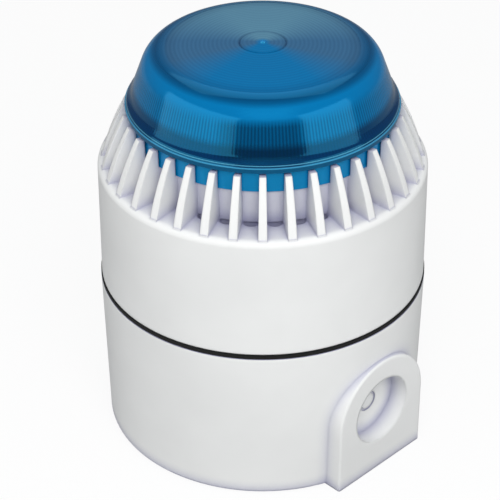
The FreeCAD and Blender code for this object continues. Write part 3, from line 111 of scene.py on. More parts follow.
class SounderLens(bpy.types.PropertyGroup):
    """Blue beacon lens."""

    skirt_radius: length("Skirt radius", "Outside of the skirt between the fins", 36.4)
    flange_under: length("Flange underside", "Wall face to the underside of the flange", 100.8)
    flange_radius: length("Flange radius", "Outside of the flange", 37.85)
    flange_edge: length("Flange edge", "Height of the flange's outer edge", 1.4)
    foot_radius: length("Wall foot", "Outside of the wall where it meets the flange", 37.1)
    foot_height: length("Foot height", "Wall face to where the wall meets the flange", 103.4)
    flare_radius: length("Flare radius", "Outside of the wall above its flared foot", 35.65)
    flare_height: length("Flare height", "Wall face to the top of the flared foot", 106.1)
    corner_radius: length("Wall corner", "Radius where wall and top would meet", 31.4)
    corner_height: length("Corner height", "Wall face to where wall and top would meet", 117.75)
    corner_round: length("Corner rounding", "Rounding between wall and top", 8.15)
    wall: length("Wall", "Thickness of the moulding", 2.0)
    ring_pitch: length("Ring pitch", "Spacing of the rings in the top", 1.15)
    ring_depth: length("Ring depth", "Depth of the rings in the top", 0.03)
    first_ring: length("First ring", "Radius of the innermost ring of the top", 8.0)
    last_ring: length("Last ring", "Radius of the outermost ring of the top", 27.0)
    mark_radius: length("Centre ring", "Radius of the round mark in the middle", 6.3)
    flutes: IntProperty(name="Flutes", description="Upright flutes inside the wall", default=240, min=12)
    flute_depth: length("Flute depth", "Depth of the flutes inside the wall", 0.22)


class SounderFinish(bpy.types.PropertyGroup):
    """Colours of the mouldings, with the painted shade in hollows and the painted reflection on the lens."""

    housing: colour("Housing", "White moulded housing", 0.86, 0.865, 0.855)
    # painted shade: lavender darkening of the housing between fins and in recesses
    painted_shade: colour("Painted shade in hollows", "Tint of the housing deep between fins and in recesses", 0.42, 0.42, 0.62)
    lens: colour("Lens", "Clear blue moulding", 0.001, 0.22, 0.56)
    # painted reflection: greyer blue over the top away from one fixed heading, standing in for the white
    # studio mirrored in the ringed top
    painted_reflection: colour("Lens painted reflection", "Greyer blue where the rings of the lens scatter the light", 0.06, 0.18, 0.36)
    rubber: colour("Rubber", "Seam gasket and lens seal", 0.005, 0.005, 0.0045)
    laminate: colour("Laminate", "Solder mask of the circuit boards", 0.012, 0.13, 0.06)
    terminal: colour("Terminals", "Green terminal moulding", 0.07, 0.3, 0.13)
    black: colour("Black moulding", "Driver, baffle and contact mouldings", 0.018, 0.018, 0.02)
    switch: colour("Switch", "Red body of the tone switch", 0.48, 0.03, 0.025)
    control: colour("Control", "Blue body of the volume control", 0.04, 0.1, 0.36)
    sleeve: colour("Sleeve", "Shrink sleeve of the capacitors", 0.02, 0.03, 0.06)


class SounderStage(bpy.types.PropertyGroup):
    """Camera and light."""

    azimuth: FloatProperty(
        name="Azimuth", default=math.radians(45), subtype="ANGLE", description="Camera turn from -Y to +X"
    )
    elevation: FloatProperty(
        name="Elevation", default=math.radians(33.72), subtype="ANGLE", description="Camera height angle"
    )
    distance: length("Distance", "Camera to the point it looks at", 529.4)
    target_height: length("Target height", "Wall face to the point that the camera looks at", 52.1)
    focal_length: FloatProperty(name="Focal length", default=131.8, description="Lens, in millimetres")
    shift: FloatProperty(name="Shift", default=-0.0256, description="Sideways shift of the camera")


# ---------------------------------------------------------------- modelling helpers


def deselect():
    bpy.ops.object.select_all(action="DESELECT")


def choose(piece):
    deselect()
    piece.select_set(True)
    bpy.context.view_layer.objects.active = piece


def edit(piece, select="DESELECT"):
    """Enter edit mode on one piece, in vertex mode."""
    choose(piece)
    bpy.ops.object.mode_set(mode="EDIT")
    bpy.ops.mesh.select_mode(type="VERT")
    bpy.ops.mesh.select_all(action=select)


def leave():
    bpy.ops.object.mode_set(mode="OBJECT")


def select_where(piece, test):
    """Select the vertices whose place passes a test, from edit mode."""
    leave()
    for vertex in piece.data.vertices:
        vertex.select = test(vertex.co)
    bpy.ops.object.mode_set(mode="EDIT")


def apply_modifier(piece, kind, **settings):
    modifier = piece.modifiers.new(kind.title(), kind)
    for name, setting in settings.items():
        setattr(modifier, name, setting)
    choose(piece)
    bpy.ops.object.modifier_apply(modifier=modifier.name)


def smooth(piece, degrees=35):
    """Smooth shading with sharp edges, and flat faces that stay flat beside their rounded edges."""
    choose(piece)
    bpy.ops.object.shade_smooth_by_angle(angle=math.radians(degrees))
    apply_modifier(piece, "WEIGHTED_NORMAL", mode="FACE_AREA", weight=50, keep_sharp=True)


def clean(piece, distance=0.002 * MM):
    """Merge doubles and turn all faces outwards."""
    edit(piece, "SELECT")
    bpy.ops.mesh.remove_doubles(threshold=distance)
    bpy.ops.mesh.normals_make_consistent(inside=False)
    leave()


def arc(centre, radius, start, end, steps):
    """Points of an arc in the (radius, height) plane; angles in degrees."""
    return [
        (
            centre[0] + radius * math.cos(math.radians(start + (end - start) * step / steps)),
            centre[1] + radius * math.sin(math.radians(start + (end - start) * step / steps)),
        )
        for step in range(steps + 1)
    ]


def draw(name, points):
    """A closed wire in the XZ plane, drawn by extruding one vertex from point to point."""
    deselect()
    bpy.ops.mesh.primitive_plane_add(size=MM, location=(points[0][0], 0, points[0][1]))
    piece = bpy.context.object
    piece.name = name
    piece.data.name = name
    bpy.ops.object.transform_apply(location=True, rotation=True, scale=True)
    bpy.ops.object.mode_set(mode="EDIT")
    bpy.ops.mesh.select_all(action="SELECT")
    bpy.ops.mesh.merge(type="CENTER")
    for here, there in zip(points, (*points[1:], points[0])):
        step = (there[0] - here[0], 0, there[1] - here[1])
        bpy.ops.mesh.extrude_vertices_move(TRANSFORM_OT_translate={"value": step})
    bpy.ops.mesh.select_all(action="SELECT")
    bpy.ops.mesh.remove_doubles(threshold=SAME_POINT)
    leave()
    return piece


def lathe(name, points, steps):
    """Full turn of an outline about Z."""
    piece = draw(name, points)
    edit(piece, "SELECT")
    bpy.ops.mesh.spin(steps=steps, angle=FULL_TURN, center=(0, 0, 0), axis=(0, 0, 1))
    leave()
    clean(piece)
    return piece


def copy_of_node(cad_node, name):
    """Copy of a CAD node with its loose triangles joined."""
    source = frame["nodes"][cad_node]
    piece = source.copy()
    piece.data = source.data.copy()
    piece.name = name
    piece.data.name = name
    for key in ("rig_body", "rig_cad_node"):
        if key in piece:
            del piece[key]
    piece.parent = None
    bpy.context.scene.collection.objects.link(piece)
    choose(piece)
    bpy.ops.mesh.customdata_custom_splitnormals_clear()
    edit(piece, "SELECT")
    bpy.ops.mesh.remove_doubles(threshold=SAME_POINT)
    leave()
    return piece


def finish_piece(piece, body, slot, material, *nodes):
    """Give a finished piece its material and its body, and hide the CAD nodes that it stands for."""
    piece.data.materials.clear()
    piece.data.materials.append(material)
    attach(piece, body)
    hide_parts(*nodes)


# ---------------------------------------------------------------- materials


def new_group(name, inputs, outputs):
    """Empty shader node group with named sockets."""
    tree = bpy.data.node_groups.new(name, "ShaderNodeTree")
    for label, kind, default in inputs:
        socket = tree.interface.new_socket(name=label, in_out="INPUT", socket_type=kind)
        socket.default_value = default
    for label, kind in outputs:
        tree.interface.new_socket(name=label, in_out="OUTPUT", socket_type=kind)
    return tree, tree.nodes.new("NodeGroupInput"), tree.nodes.new("NodeGroupOutput")


def node(tree, kind, links=(), **settings):
    """Node with settings, and links as (input name or number, source socket) pairs."""
    item = tree.nodes.new(kind)
    for name, setting in settings.items():
        setattr(item, name, setting)
    for name, source in links:
        if isinstance(source, bpy.types.NodeSocket):
            tree.links.new(source, item.inputs[name])
        else:
            item.inputs[name].default_value = source
    return item


def between(tree, source, low, high):
    """Value that goes from 0 to 1 as a source value goes from low to high."""
    spread = node(tree, "ShaderNodeMapRange", [("Value", source), ("From Min", low), ("From Max", high)])
    return spread.outputs["Result"]


def noise(tree, place, scale, detail, rough=0.5):
    """Value of a noise texture at a place."""
    links = [("Vector", place), ("Scale", scale), ("Detail", detail), ("Roughness", rough)]
    return node(tree, "ShaderNodeTexNoise", links).outputs["Fac"]


def arithmetic(tree, first, second, operation="MULTIPLY"):
    """Output of a calculation on two sockets or values."""
    return node(tree, "ShaderNodeMath", [(0, first), (1, second)], operation=operation).outputs[0]


def mix_colours(tree, share, first, second, blend="MIX"):
    """Colour output of a blend between two colour sockets or values."""
    mix = tree.nodes.new("ShaderNodeMix")
    mix.data_type = "RGBA"
    mix.blend_type = blend
    for number, source in ((0, share), (6, first), (7, second)):
        if isinstance(source, bpy.types.NodeSocket):
            tree.links.new(source, mix.inputs[number])
        else:
            mix.inputs[number].default_value = source
    return mix.outputs[2]


def roughness(tree, share, given):
    """Roughness between a group's Rough Low and Rough High."""
    low, high = given.outputs["Rough Low"], given.outputs["Rough High"]
    spread = node(tree, "ShaderNodeMapRange", [("Value", share), ("To Min", low), ("To Max", high)])
    return spread.outputs["Result"]


def moulding_group():
    """Fine spark-eroded grain and slow colour drift of a moulded surface, with painted shade in its hollows.
    """
    if "moulded surface" in bpy.data.node_groups:
        return bpy.data.node_groups["moulded surface"]
    tree, given, put = new_group(
        "moulded surface",
        [
            ("Color", "NodeSocketColor", (0.8, 0.8, 0.8, 1)),
            ("Shade", "NodeSocketColor", (0.7, 0.7, 0.7, 1)),
            ("Drift Scale", "NodeSocketFloat", 30.0),
            ("Grain Scale", "NodeSocketFloat", 2500.0),
            ("Rough Low", "NodeSocketFloat", 0.35),
            ("Rough High", "NodeSocketFloat", 0.5),
            ("Painted Shade", "NodeSocketColor", (1, 1, 1, 1)),
            ("Painted Shade Reach", "NodeSocketFloat", 4.5 * MM),
        ],
        [("Color", "NodeSocketColor"), ("Roughness", "NodeSocketFloat"), ("Height", "NodeSocketFloat")],
    )
    place = node(tree, "ShaderNodeTexCoord").outputs["Object"]
    # painted shade: where ambient occlusion within the reach finds a recess, the colour is darkened towards
    # the shade colour
    nook = node(tree, "ShaderNodeAmbientOcclusion", [("Distance", given.outputs["Painted Shade Reach"])], samples=8)
    depth = between(tree, nook.outputs["AO"], 0.95, 0.3)
    drift = noise(tree, place, given.outputs["Drift Scale"], 3.0)
    grain = noise(tree, place, given.outputs["Grain Scale"], 2.0)
    share = between(tree, drift, 0.35, 0.7)
    mix = mix_colours(tree, share, given.outputs["Color"], given.outputs["Shade"])
    rough = roughness(tree, between(tree, grain, 0.3, 0.7), given)
    painted_shade_tint = mix_colours(tree, depth, WHITE, given.outputs["Painted Shade"])
    tinted = mix_colours(tree, 1.0, mix, painted_shade_tint, "MULTIPLY")
    tree.links.new(tinted, put.inputs["Color"])
    tree.links.new(rough, put.inputs["Roughness"])
    tree.links.new(grain, put.inputs["Height"])
    return tree


def new_material(name):
    """Material with its Principled shader and output."""
    material = bpy.data.materials.new(name)
    material.use_nodes = True
    return material, material.node_tree, material.node_tree.nodes["Principled BSDF"]


def surface(tree, shader, group):
    """Link a group's colour and roughness to the shader."""
    for name, socket in (("Color", "Base Color"), ("Roughness", "Roughness")):
        tree.links.new(group.outputs[name], shader.inputs[socket])


def relief(tree, shader, group, strength, distance, edge=0.0):
    """Bump the shader's normal by a group's height, over edges rounded by a radius in millimetres."""
    links = [("Height", group.outputs["Height"]), ("Strength", strength), ("Distance", distance * MM)]
    bump = node(tree, "ShaderNodeBump", links)
    if edge:
        rounded = node(tree, "ShaderNodeBevel", [("Radius", edge * MM)], samples=6)
        tree.links.new(rounded.outputs["Normal"], bump.inputs["Normal"])
    tree.links.new(bump.outputs["Normal"], shader.inputs["Normal"])


def moulded(name, base, shade=0.94, rough=(0.35, 0.5), grain=2500.0, bump=0.04, edge=0.0, painted_shade=(1, 1, 1)):
    """Moulded plastic, rubber or lacquer with a fine grain, rounded edges and painted shade in its hollows.
    """
    material, tree, shader = new_material(name)
    group = node(tree, "ShaderNodeGroup", node_tree=moulding_group())
    group.inputs["Color"].default_value = (*base, 1)
    group.inputs["Shade"].default_value = (*[value * shade for value in base], 1)
    group.inputs["Grain Scale"].default_value = grain
    group.inputs["Painted Shade"].default_value = (*painted_shade, 1)
    group.inputs["Rough Low"].default_value = rough[0]
    group.inputs["Rough High"].default_value = rough[1]
    surface(tree, shader, group)
    relief(tree, shader, group, bump, 0.1, edge)
    return material


# ---------------------------------------------------------------- lens


CAD_LENS_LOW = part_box("beacon_lens")[0].z
CAD_LENS_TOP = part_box("beacon_lens")[1].z
LIP = 0.15 * MM
GATE_RADIUS = 0.35 * MM
# hollow curve of the flared foot, as shares of the flare's width and height
FLARE_BEND = ((0.55, 0.3), (0.85, 0.65))


def lens_outside(sizes):
    """Outline of the lens from the foot of its skirt to its rounded corner."""
    low = CAD_LENS_LOW
    edge, under, flange = sizes.flange_edge, sizes.flange_under, sizes.flange_radius
    foot, flare = (sizes.foot_radius, sizes.foot_height), (sizes.flare_radius, sizes.flare_height)
    ledge, rise = (flange - foot[0]) / 3, (foot[1] - under - edge) / 2
    spread, climb = foot[0] - flare[0], flare[1] - foot[1]
    points = [
        (sizes.skirt_radius, low),
        (sizes.skirt_radius, under),
        (flange - LIP, under),
        (flange, under + LIP),
        (flange, under + edge - LIP),
        (flange - LIP, under + edge),
        (flange - ledge, under + edge),
        (flange - ledge - LIP, under + edge + rise - LIP),
        (flange - ledge - 2 * LIP, under + edge + rise),
        (flange - 2 * ledge, under + edge + rise),
        (flange - 2 * ledge - LIP, foot[1] - LIP),
        (flange - 2 * ledge - 2 * LIP, foot[1]),
        foot,
        *[(foot[0] - inward * spread, foot[1] + upward * climb) for inward, upward in FLARE_BEND],
        flare,
    ]
    corner = Vector((sizes.corner_radius, sizes.corner_height))
    down = (Vector(flare) - corner).normalized()
    crown = Vector((-sizes.corner_radius, 2 * (CAD_LENS_TOP - sizes.corner_height)))
    along = crown.normalized()
    half = math.acos(max(-1, min(1, down.dot(along)))) / 2
    reach = sizes.corner_round / math.tan(half)
    start, end = corner + down * reach, corner + along * reach
    centre = corner + (down + along).normalized() * (sizes.corner_round / math.sin(half))
    first = math.degrees(math.atan2(*(start - centre).yx))
    last = math.degrees(math.atan2(*(end - centre).yx))
    points += arc(centre, sizes.corner_round, first, last, 16)
    return points


def crown_height(sizes, radius):
    """Height of the gently domed top at a radius."""
    share = radius / sizes.corner_radius
    return CAD_LENS_TOP - (CAD_LENS_TOP - sizes.corner_height) * share * share


def lens_top(sizes):
    """Outline of the top, from its rounded corner to the middle, with its rings."""
    points = []
    steep_side = 0.35 * sizes.ring_pitch
    radius = sizes.last_ring
    while radius > sizes.first_ring:
        height = crown_height(sizes, radius)
        points.append((radius, height))
        points.append((radius - steep_side, height - sizes.ring_depth))
        radius -= sizes.ring_pitch
    mark, groove, depth = sizes.mark_radius, 0.3 * MM, 0.25 * MM
    for radius, drop in ((mark + groove, 0), (mark, depth), (mark - groove, 0), (MM, 0)):
        points.append((radius, crown_height(sizes, radius) - drop))
    dimple = crown_height(sizes, 0) - 0.3 * MM
    points.append((2 * GATE_RADIUS, dimple))
    points.append((GATE_RADIUS, dimple))
    return points


def lens_inside(sizes):
    """Outline of the inside, from the middle of the top down to the foot of the skirt."""
    wall = sizes.wall
    radius, height = sizes.corner_radius - wall, sizes.corner_height - wall
    cut_across, cut_down = 1.2 * wall, 0.8 * wall
    return [
        (GATE_RADIUS, CAD_LENS_TOP - wall),
        (radius - cut_across, height),
        (radius, height - cut_down),
        (sizes.foot_radius - wall, sizes.flange_under + 2 * wall),
        (sizes.skirt_radius - wall, sizes.flange_under),
        (sizes.skirt_radius - wall, CAD_LENS_LOW),
    ]


class OBJECT_OT_sounder_lens(bpy.types.Operator):
    """Model the beacon lens with its stepped flange, ringed top and fluted wall"""

    bl_idname = "object.sounder_lens"
    bl_label = "Beacon Lens"

    def execute(self, context):
        sizes, finish = context.scene.sounder_lens, context.scene.sounder_finish
        outline = lens_outside(sizes) + lens_top(sizes) + lens_inside(sizes)
        piece = lathe("blue_lens", outline, steps=2 * sizes.flutes)
        low, high = sizes.flange_under, sizes.corner_height - sizes.wall
        edge, inner = sizes.skirt_radius - 0.5 * sizes.wall, sizes.corner_radius - 2 * sizes.wall
        lean, slack = 0.35, 0.1 * MM

        def on_flute(place):
            radius = math.hypot(place.x, place.y)
            turn = math.atan2(place.y, place.x) / FULL_TURN * 2 * sizes.flutes
            inside = inner < radius < edge - (place.z - low) * lean
            return low - slack < place.z < high and inside and round(turn) % 2 == 0

        edit(piece)
        select_where(piece, on_flute)
        share = 1 + sizes.flute_depth / sizes.skirt_radius
        bpy.ops.transform.resize(value=(share, share, 1), center_override=(0, 0, 0))
        leave()
        smooth(piece, degrees=30)
        finish_piece(piece, "head", "lens_blue", lens_material(sizes, finish), "beacon_lens")
        return {"FINISHED"}


def ramp(tree, source, stops):
    """Colour output of a ramp over a value, from (position, colour) stops."""
    item = node(tree, "ShaderNodeValToRGB", [("Fac", source)])
    steps = item.color_ramp.elements
    while len(steps) < len(stops):
        steps.new(1.0)
    for step, (position, tone) in zip(steps, stops):
        step.position = position
        step.color = (*tone, 1)
    return item.outputs["Color"]


def wave(tree, source, rate):
    """Value that swings between 0 and 1 as a source value grows."""
    turned = arithmetic(tree, source, rate)
    swing = node(tree, "ShaderNodeMath", [(0, turned)], operation="SINE").outputs[0]
    return between(tree, swing, -1.0, 1.0)


# painted light and shade up the lens, by share of the height from just under the flange to the top: the skirt
# a touch brighter, painted shade on the flange and its steps, painted highlights on the two ledges, painted
# shade of the dark inside seen through the foot, and the wall darker towards the bottom up to the shoulder
SKIRT_LIGHT = (1.0, 1.1, 1.0)
FLANGE_SHADE = (0.5, 0.2, 0.26)
STEP_SHADE = (0.5, 0.16, 0.22)
FOOT_SHADE = (2.0, 0.1, 0.2)
UPRIGHT_LIGHT_AND_SHADE = (
    (0.03, SKIRT_LIGHT),
    # painted shade on the flange and its steps
    (0.06, FLANGE_SHADE),
    (0.112, FLANGE_SHADE),
    # painted highlight on the lower ledge of the flange
    (0.122, (100.0, 2.2, 1.4)),
    (0.132, STEP_SHADE),
    (0.146, STEP_SHADE),
    # painted highlight on the upper ledge of the flange
    (0.153, (200.0, 3.0, 1.6)),
    (0.16, STEP_SHADE),
    # painted shade of the dark inside seen through the foot of the wall
    (0.2, FOOT_SHADE),
    (0.33, FOOT_SHADE),
    # painted shade on the wall, lightening up to the shoulder
    (0.42, (0.5, 0.7, 0.72)),
    (0.6, (0.6, 0.75, 0.76)),
    (0.75, (1, 1, 1)),
)
# painted light and shade across the top, by share of the flange's radius: a bright dot at the gate, darker at
# the round mark, and painted shade at the inner corner
ACROSS_LIGHT_AND_SHADE = (
    # a bright dot at the gate
    (0.012, (60.0, 2.6, 1.7)),
    (0.022, (1, 1, 1)),
    (0.15, (1, 1, 1)),
    (0.165, (0.6, 0.55, 0.6)),
    (0.18, (1, 1, 1)),
    (0.6, (1, 1, 1)),
    # painted shade: dark band at the inner corner
    (0.7, (0.75, 0.75, 0.78)),
    (0.765, (0.3, 0.32, 0.38)),
    (0.79, (0.5, 0.5, 0.55)),
    (0.82, (1, 1, 1)),
)
# where the flutes and the rings show, and with them the painted shade patch on the wall and the painted
# reflection on the top, by the same shares: start, full, fading and end
FLUTED_BAND = (0.18, 0.24, 0.62, 0.72)
RINGED_BAND = (0.02, 0.06, 0.68, 0.76)
# painted shade and painted highlight across one flute and one ring
FLUTE_SHADE_AND_HIGHLIGHT = ((0.5, 0.5, 0.6), (1.3, 1.3, 1.2))
RING_SHADE_AND_HIGHLIGHT = ((0.9, 0.9, 0.92), (1.06, 1.06, 1.05))
# fixed heading in the lens's own space, towards the default camera, of the bright sector on the top left free
# of painted reflection and of the painted shade patch on the wall, and the cosines of the turn away from it
# at which the shade patch, the painted reflection and its paler part are at nothing and at full
SHADING_HEADING = (math.sqrt(0.5), -math.sqrt(0.5), 0)
SHADE_PATCH_TURN = (0.93, 0.97)
REFLECTION_TURN = (0.82, 0.34)
PALE_REFLECTION_TURN = (-0.1, -0.9)
SHADE_PATCH_TINT = (0.5, 0.45, 0.5, 1)
PALE_REFLECTION = (0.15, 0.35, 0.5, 1)


def band(tree, source, start, full, fading, end):
    """Mask that is 1 from full to fading and 0 before start and after end."""
    off, on = (0, 0, 0), (1, 1, 1)
    return ramp(tree, source, ((start, off), (full, on), (fading, on), (end, off)))


def striped(tree, mask, stripes, dark, light):
    """Painted shade and highlight that swing between dark and light inside a mask, and white outside it."""
    return mix_colours(tree, mask, WHITE, mix_colours(tree, stripes, (*dark, 1), (*light, 1)))


def lens_group(sizes):
    """Painted light and shade of a clear lens: painted shade at the foot and at the inner corner, painted
    highlights on the flange ledges, a painted reflection over the top and a painted shade patch on the wall
    set by one fixed heading, and painted shade and highlight across the upright flutes and fine rings.
    """
    tree, given, put = new_group(
        "lens painted light",
        [
            ("Color", "NodeSocketColor", (0.001, 0.2, 0.5, 1)),
            ("Painted Reflection", "NodeSocketColor", (0.05, 0.16, 0.3, 1)),
        ],
        [("Color", "NodeSocketColor"), ("Height", "NodeSocketFloat")],
    )
    place = node(tree, "ShaderNodeTexCoord").outputs["Object"]
    split = node(tree, "ShaderNodeSeparateXYZ", [("Vector", place)]).outputs
    flattened = node(tree, "ShaderNodeVectorMath", [(0, place), (1, (1, 1, 0))], operation="MULTIPLY")
    flat = flattened.outputs["Vector"]
    radius = node(tree, "ShaderNodeVectorMath", [(0, flat)], operation="LENGTH").outputs["Value"]
    heading = node(tree, "ShaderNodeVectorMath", [(0, flat)], operation="NORMALIZE").outputs["Vector"]
    ahead = node(tree, "ShaderNodeVectorMath", [(0, heading), (1, SHADING_HEADING)], operation="DOT_PRODUCT")
    facing = ahead.outputs["Value"]
    turn = arithmetic(tree, split["Y"], split["X"], "ARCTAN2")
    rise = between(tree, split["Z"], sizes.flange_under - MM, CAD_LENS_TOP)
    reach = between(tree, radius, 0.0, sizes.flange_radius)
    on_wall = band(tree, rise, *FLUTED_BAND)
    on_top = band(tree, reach, *RINGED_BAND)
    flutes = wave(tree, turn, float(sizes.flutes))
    rings = wave(tree, radius, FULL_TURN / sizes.ring_pitch)
    # painted shade: a dark patch on the wall facing the fixed heading
    shade_patch = arithmetic(tree, between(tree, facing, *SHADE_PATCH_TURN), on_wall)
    # painted reflection: greyer blue over the top away from the fixed heading, paler towards the back
    reflection_share = arithmetic(tree, between(tree, facing, *REFLECTION_TURN), on_top)
    painted_reflection = mix_colours(tree, between(tree, facing, *PALE_REFLECTION_TURN), given.outputs["Painted Reflection"], PALE_REFLECTION)
    tone = mix_colours(tree, reflection_share, given.outputs["Color"], painted_reflection)
    layers = (
        ramp(tree, rise, UPRIGHT_LIGHT_AND_SHADE),
        ramp(tree, reach, ACROSS_LIGHT_AND_SHADE),
        striped(tree, on_wall, flutes, *FLUTE_SHADE_AND_HIGHLIGHT),
        striped(tree, on_top, rings, *RING_SHADE_AND_HIGHLIGHT),
        mix_colours(tree, shade_patch, WHITE, SHADE_PATCH_TINT),
    )
    for layer in layers:
        tone = mix_colours(tree, 1.0, tone, layer, "MULTIPLY")
    tree.links.new(tone, put.inputs["Color"])
    height = arithmetic(tree, arithmetic(tree, flutes, on_wall), arithmetic(tree, rings, on_top), "ADD")
    tree.links.new(height, put.inputs["Height"])
    return tree


def lens_material(sizes, finish):
    material, tree, shader = new_material("blue_lens")
    group = node(tree, "ShaderNodeGroup", node_tree=lens_group(sizes))
    group.inputs["Color"].default_value = (*finish.lens, 1)
    group.inputs["Painted Reflection"].default_value = (*finish.painted_reflection, 1)
    tree.links.new(group.outputs["Color"], shader.inputs["Base Color"])
    relief(tree, shader, group, 0.06, 0.1)
    shader.inputs["Roughness"].default_value = 0.12
    shader.inputs["Transmission Weight"].default_value = 0.2
    shader.inputs["IOR"].default_value = 2.7
    shader.inputs["Specular Tint"].default_value = (0.03, 0.6, 1.0, 1)
    shader.inputs["Coat Weight"].default_value = 0.2
    shader.inputs["Coat Roughness"].default_value = 0.05
    return material


# ---------------------------------------------------------------- housing, base and seals


class OBJECT_OT_sounder_base(bpy.types.Operator):
    """Finish the deep base with rounded moulded edges"""

    bl_idname = "object.sounder_base"
    bl_label = "Deep Base"

    def execute(self, context):
        piece = copy_of_node("base_shell", "deep_base")
        smooth(piece)
        finish = context.scene.sounder_finish
        # painted shade in the recesses of the base
        white = moulded("white_base", finish.housing, edge=1.2, painted_shade=finish.painted_shade)
        finish_piece(piece, "base", "housing_plastic", white, "base_shell")
        return {"FINISHED"}


class OBJECT_OT_sounder_head(bpy.types.Operator):
    """Finish the finned sounder head with rounded moulded edges"""

    bl_idname = "object.sounder_head"
    bl_label = "Finned Head"

    def execute(self, context):
        piece = copy_of_node("head_housing", "finned_head")
        smooth(piece)
        finish = context.scene.sounder_finish
        # painted shade between the fins and in the recesses of the head
        white = moulded("white_head", finish.housing, edge=0.6, painted_shade=finish.painted_shade)
        finish_piece(piece, "head", "housing_plastic", white, "head_housing")
        return {"FINISHED"}


class OBJECT_OT_sounder_seals(bpy.types.Operator):
    """Model the seam gasket and finish the lens seal"""

    bl_idname = "object.sounder_seals"
    bl_label = "Seals"

    def execute(self, context):
        finish = context.scene.sounder_finish
        rubber = moulded("black_rubber", finish.rubber, rough=(0.5, 0.7))
        low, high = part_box("seam_seal")
        proud, lip, width = 0.45 * MM, 0.3 * MM, 2.3 * MM
        outline = [
            (high.x + proud - width, low.z),
            (high.x + proud - lip, low.z),
            (high.x + proud, low.z + lip),
            (high.x + proud, high.z - lip),
            (high.x + proud - lip, high.z),
            (high.x + proud - width, high.z),
        ]
        piece = lathe("seam_gasket", outline, steps=360)
        smooth(piece, degrees=50)
        finish_piece(piece, "base", "seal_rubber", rubber, "seam_seal")
        paint_nodes(rubber, "lens_seal")
        return {"FINISHED"}


# ---------------------------------------------------------------- inner pieces


def paint_nodes(material, *names):
    """Give carried-over CAD nodes a finished material in their own slots."""
    for name in names:
        slots = frame["nodes"][name].data.materials
        if not slots:
            slots.append(material)
        for number in range(len(slots)):
            slots[number] = material


def strand_group():
    """Fine lines across one direction, for rolled or drawn metal and wound wire."""
    if "fine strands" in bpy.data.node_groups:
        return bpy.data.node_groups["fine strands"]
    tree, given, put = new_group(
        "fine strands",
        [
            ("Color", "NodeSocketColor", (0.6, 0.6, 0.6, 1)),
            ("Dark", "NodeSocketColor", (0.4, 0.4, 0.4, 1)),
            ("Stretch", "NodeSocketVector", (1, 1, 30)),
            ("Scale", "NodeSocketFloat", 400.0),
            ("Rough Low", "NodeSocketFloat", 0.2),
            ("Rough High", "NodeSocketFloat", 0.4),
        ],
        [("Color", "NodeSocketColor"), ("Roughness", "NodeSocketFloat"), ("Height", "NodeSocketFloat")],
    )
    place = node(tree, "ShaderNodeTexCoord").outputs["Object"]
    stretch = given.outputs["Stretch"]
    drawn = node(tree, "ShaderNodeVectorMath", [(0, place), (1, stretch)], operation="MULTIPLY").outputs[0]
    lines = noise(tree, drawn, given.outputs["Scale"], 4.0, 0.6)
    share = between(tree, lines, 0.35, 0.65)
    rough = roughness(tree, share, given)
    mix = mix_colours(tree, share, given.outputs["Color"], given.outputs["Dark"])
    tree.links.new(mix, put.inputs["Color"])
    tree.links.new(rough, put.inputs["Roughness"])
    tree.links.new(share, put.inputs["Height"])
    return tree


def stranded(name, base, dark, rough, stretch=(1, 1, 30), scale=400.0, bump=0.1):
    """Metal with fine rolled, drawn or wound lines."""
    material, tree, shader = new_material(name)
    group = node(tree, "ShaderNodeGroup", node_tree=strand_group())
    group.inputs["Color"].default_value = (*base, 1)
    group.inputs["Dark"].default_value = (*dark, 1)
    group.inputs["Stretch"].default_value = stretch
    group.inputs["Scale"].default_value = scale
    group.inputs["Rough Low"].default_value = rough[0]
    group.inputs["Rough High"].default_value = rough[1]
    surface(tree, shader, group)
    relief(tree, shader, group, bump, 0.05)
    shader.inputs["Metallic"].default_value = 1.0
    return material


def laminate_group():
    """Solder mask over square-laid copper tracks, with tinned pads."""
    if "solder mask" in bpy.data.node_groups:
        return bpy.data.node_groups["solder mask"]
    tree, given, put = new_group(
        "solder mask",
        [
            ("Color", "NodeSocketColor", (0.01, 0.13, 0.06, 1)),
            ("Track", "NodeSocketColor", (0.02, 0.22, 0.1, 1)),
            ("Pad", "NodeSocketColor", (0.6, 0.6, 0.58, 1)),
            ("Pitch", "NodeSocketFloat", 400.0),
        ],
        [
            ("Color", "NodeSocketColor"),
            ("Roughness", "NodeSocketFloat"),
            ("Height", "NodeSocketFloat"),
            ("Pad Mask", "NodeSocketFloat"),
        ],
    )
    place = node(tree, "ShaderNodeTexCoord").outputs["Object"]
    scatter = [("Vector", place), ("Scale", given.outputs["Pitch"]), ("Randomness", 0.35)]
    cells = node(tree, "ShaderNodeTexVoronoi", scatter, distance="CHEBYCHEV")
    dots = node(tree, "ShaderNodeTexVoronoi", scatter)
    track = between(tree, cells.outputs["Distance"], 0.4, 0.46)
    pad = between(tree, dots.outputs["Distance"], 0.17, 0.14)
    laid = mix_colours(tree, track, given.outputs["Color"], given.outputs["Track"])
    tinned = mix_colours(tree, pad, laid, given.outputs["Pad"])
    rough = node(tree, "ShaderNodeMapRange", [("Value", track), ("To Min", 0.28), ("To Max", 0.36)])
    tree.links.new(tinned, put.inputs["Color"])
    tree.links.new(rough.outputs["Result"], put.inputs["Roughness"])
    tree.links.new(track, put.inputs["Height"])
    tree.links.new(pad, put.inputs["Pad Mask"])
    return tree


def laminate_material(finish):
    material, tree, shader = new_material("board_laminate")
    group = node(tree, "ShaderNodeGroup", node_tree=laminate_group())
    group.inputs["Color"].default_value = (*finish.laminate, 1)
    group.inputs["Track"].default_value = (*[value * 1.6 for value in finish.laminate], 1)
    surface(tree, shader, group)
    tree.links.new(group.outputs["Pad Mask"], shader.inputs["Metallic"])
    relief(tree, shader, group, 0.2, 0.05)
    shader.inputs["Coat Weight"].default_value = 0.3
    return material


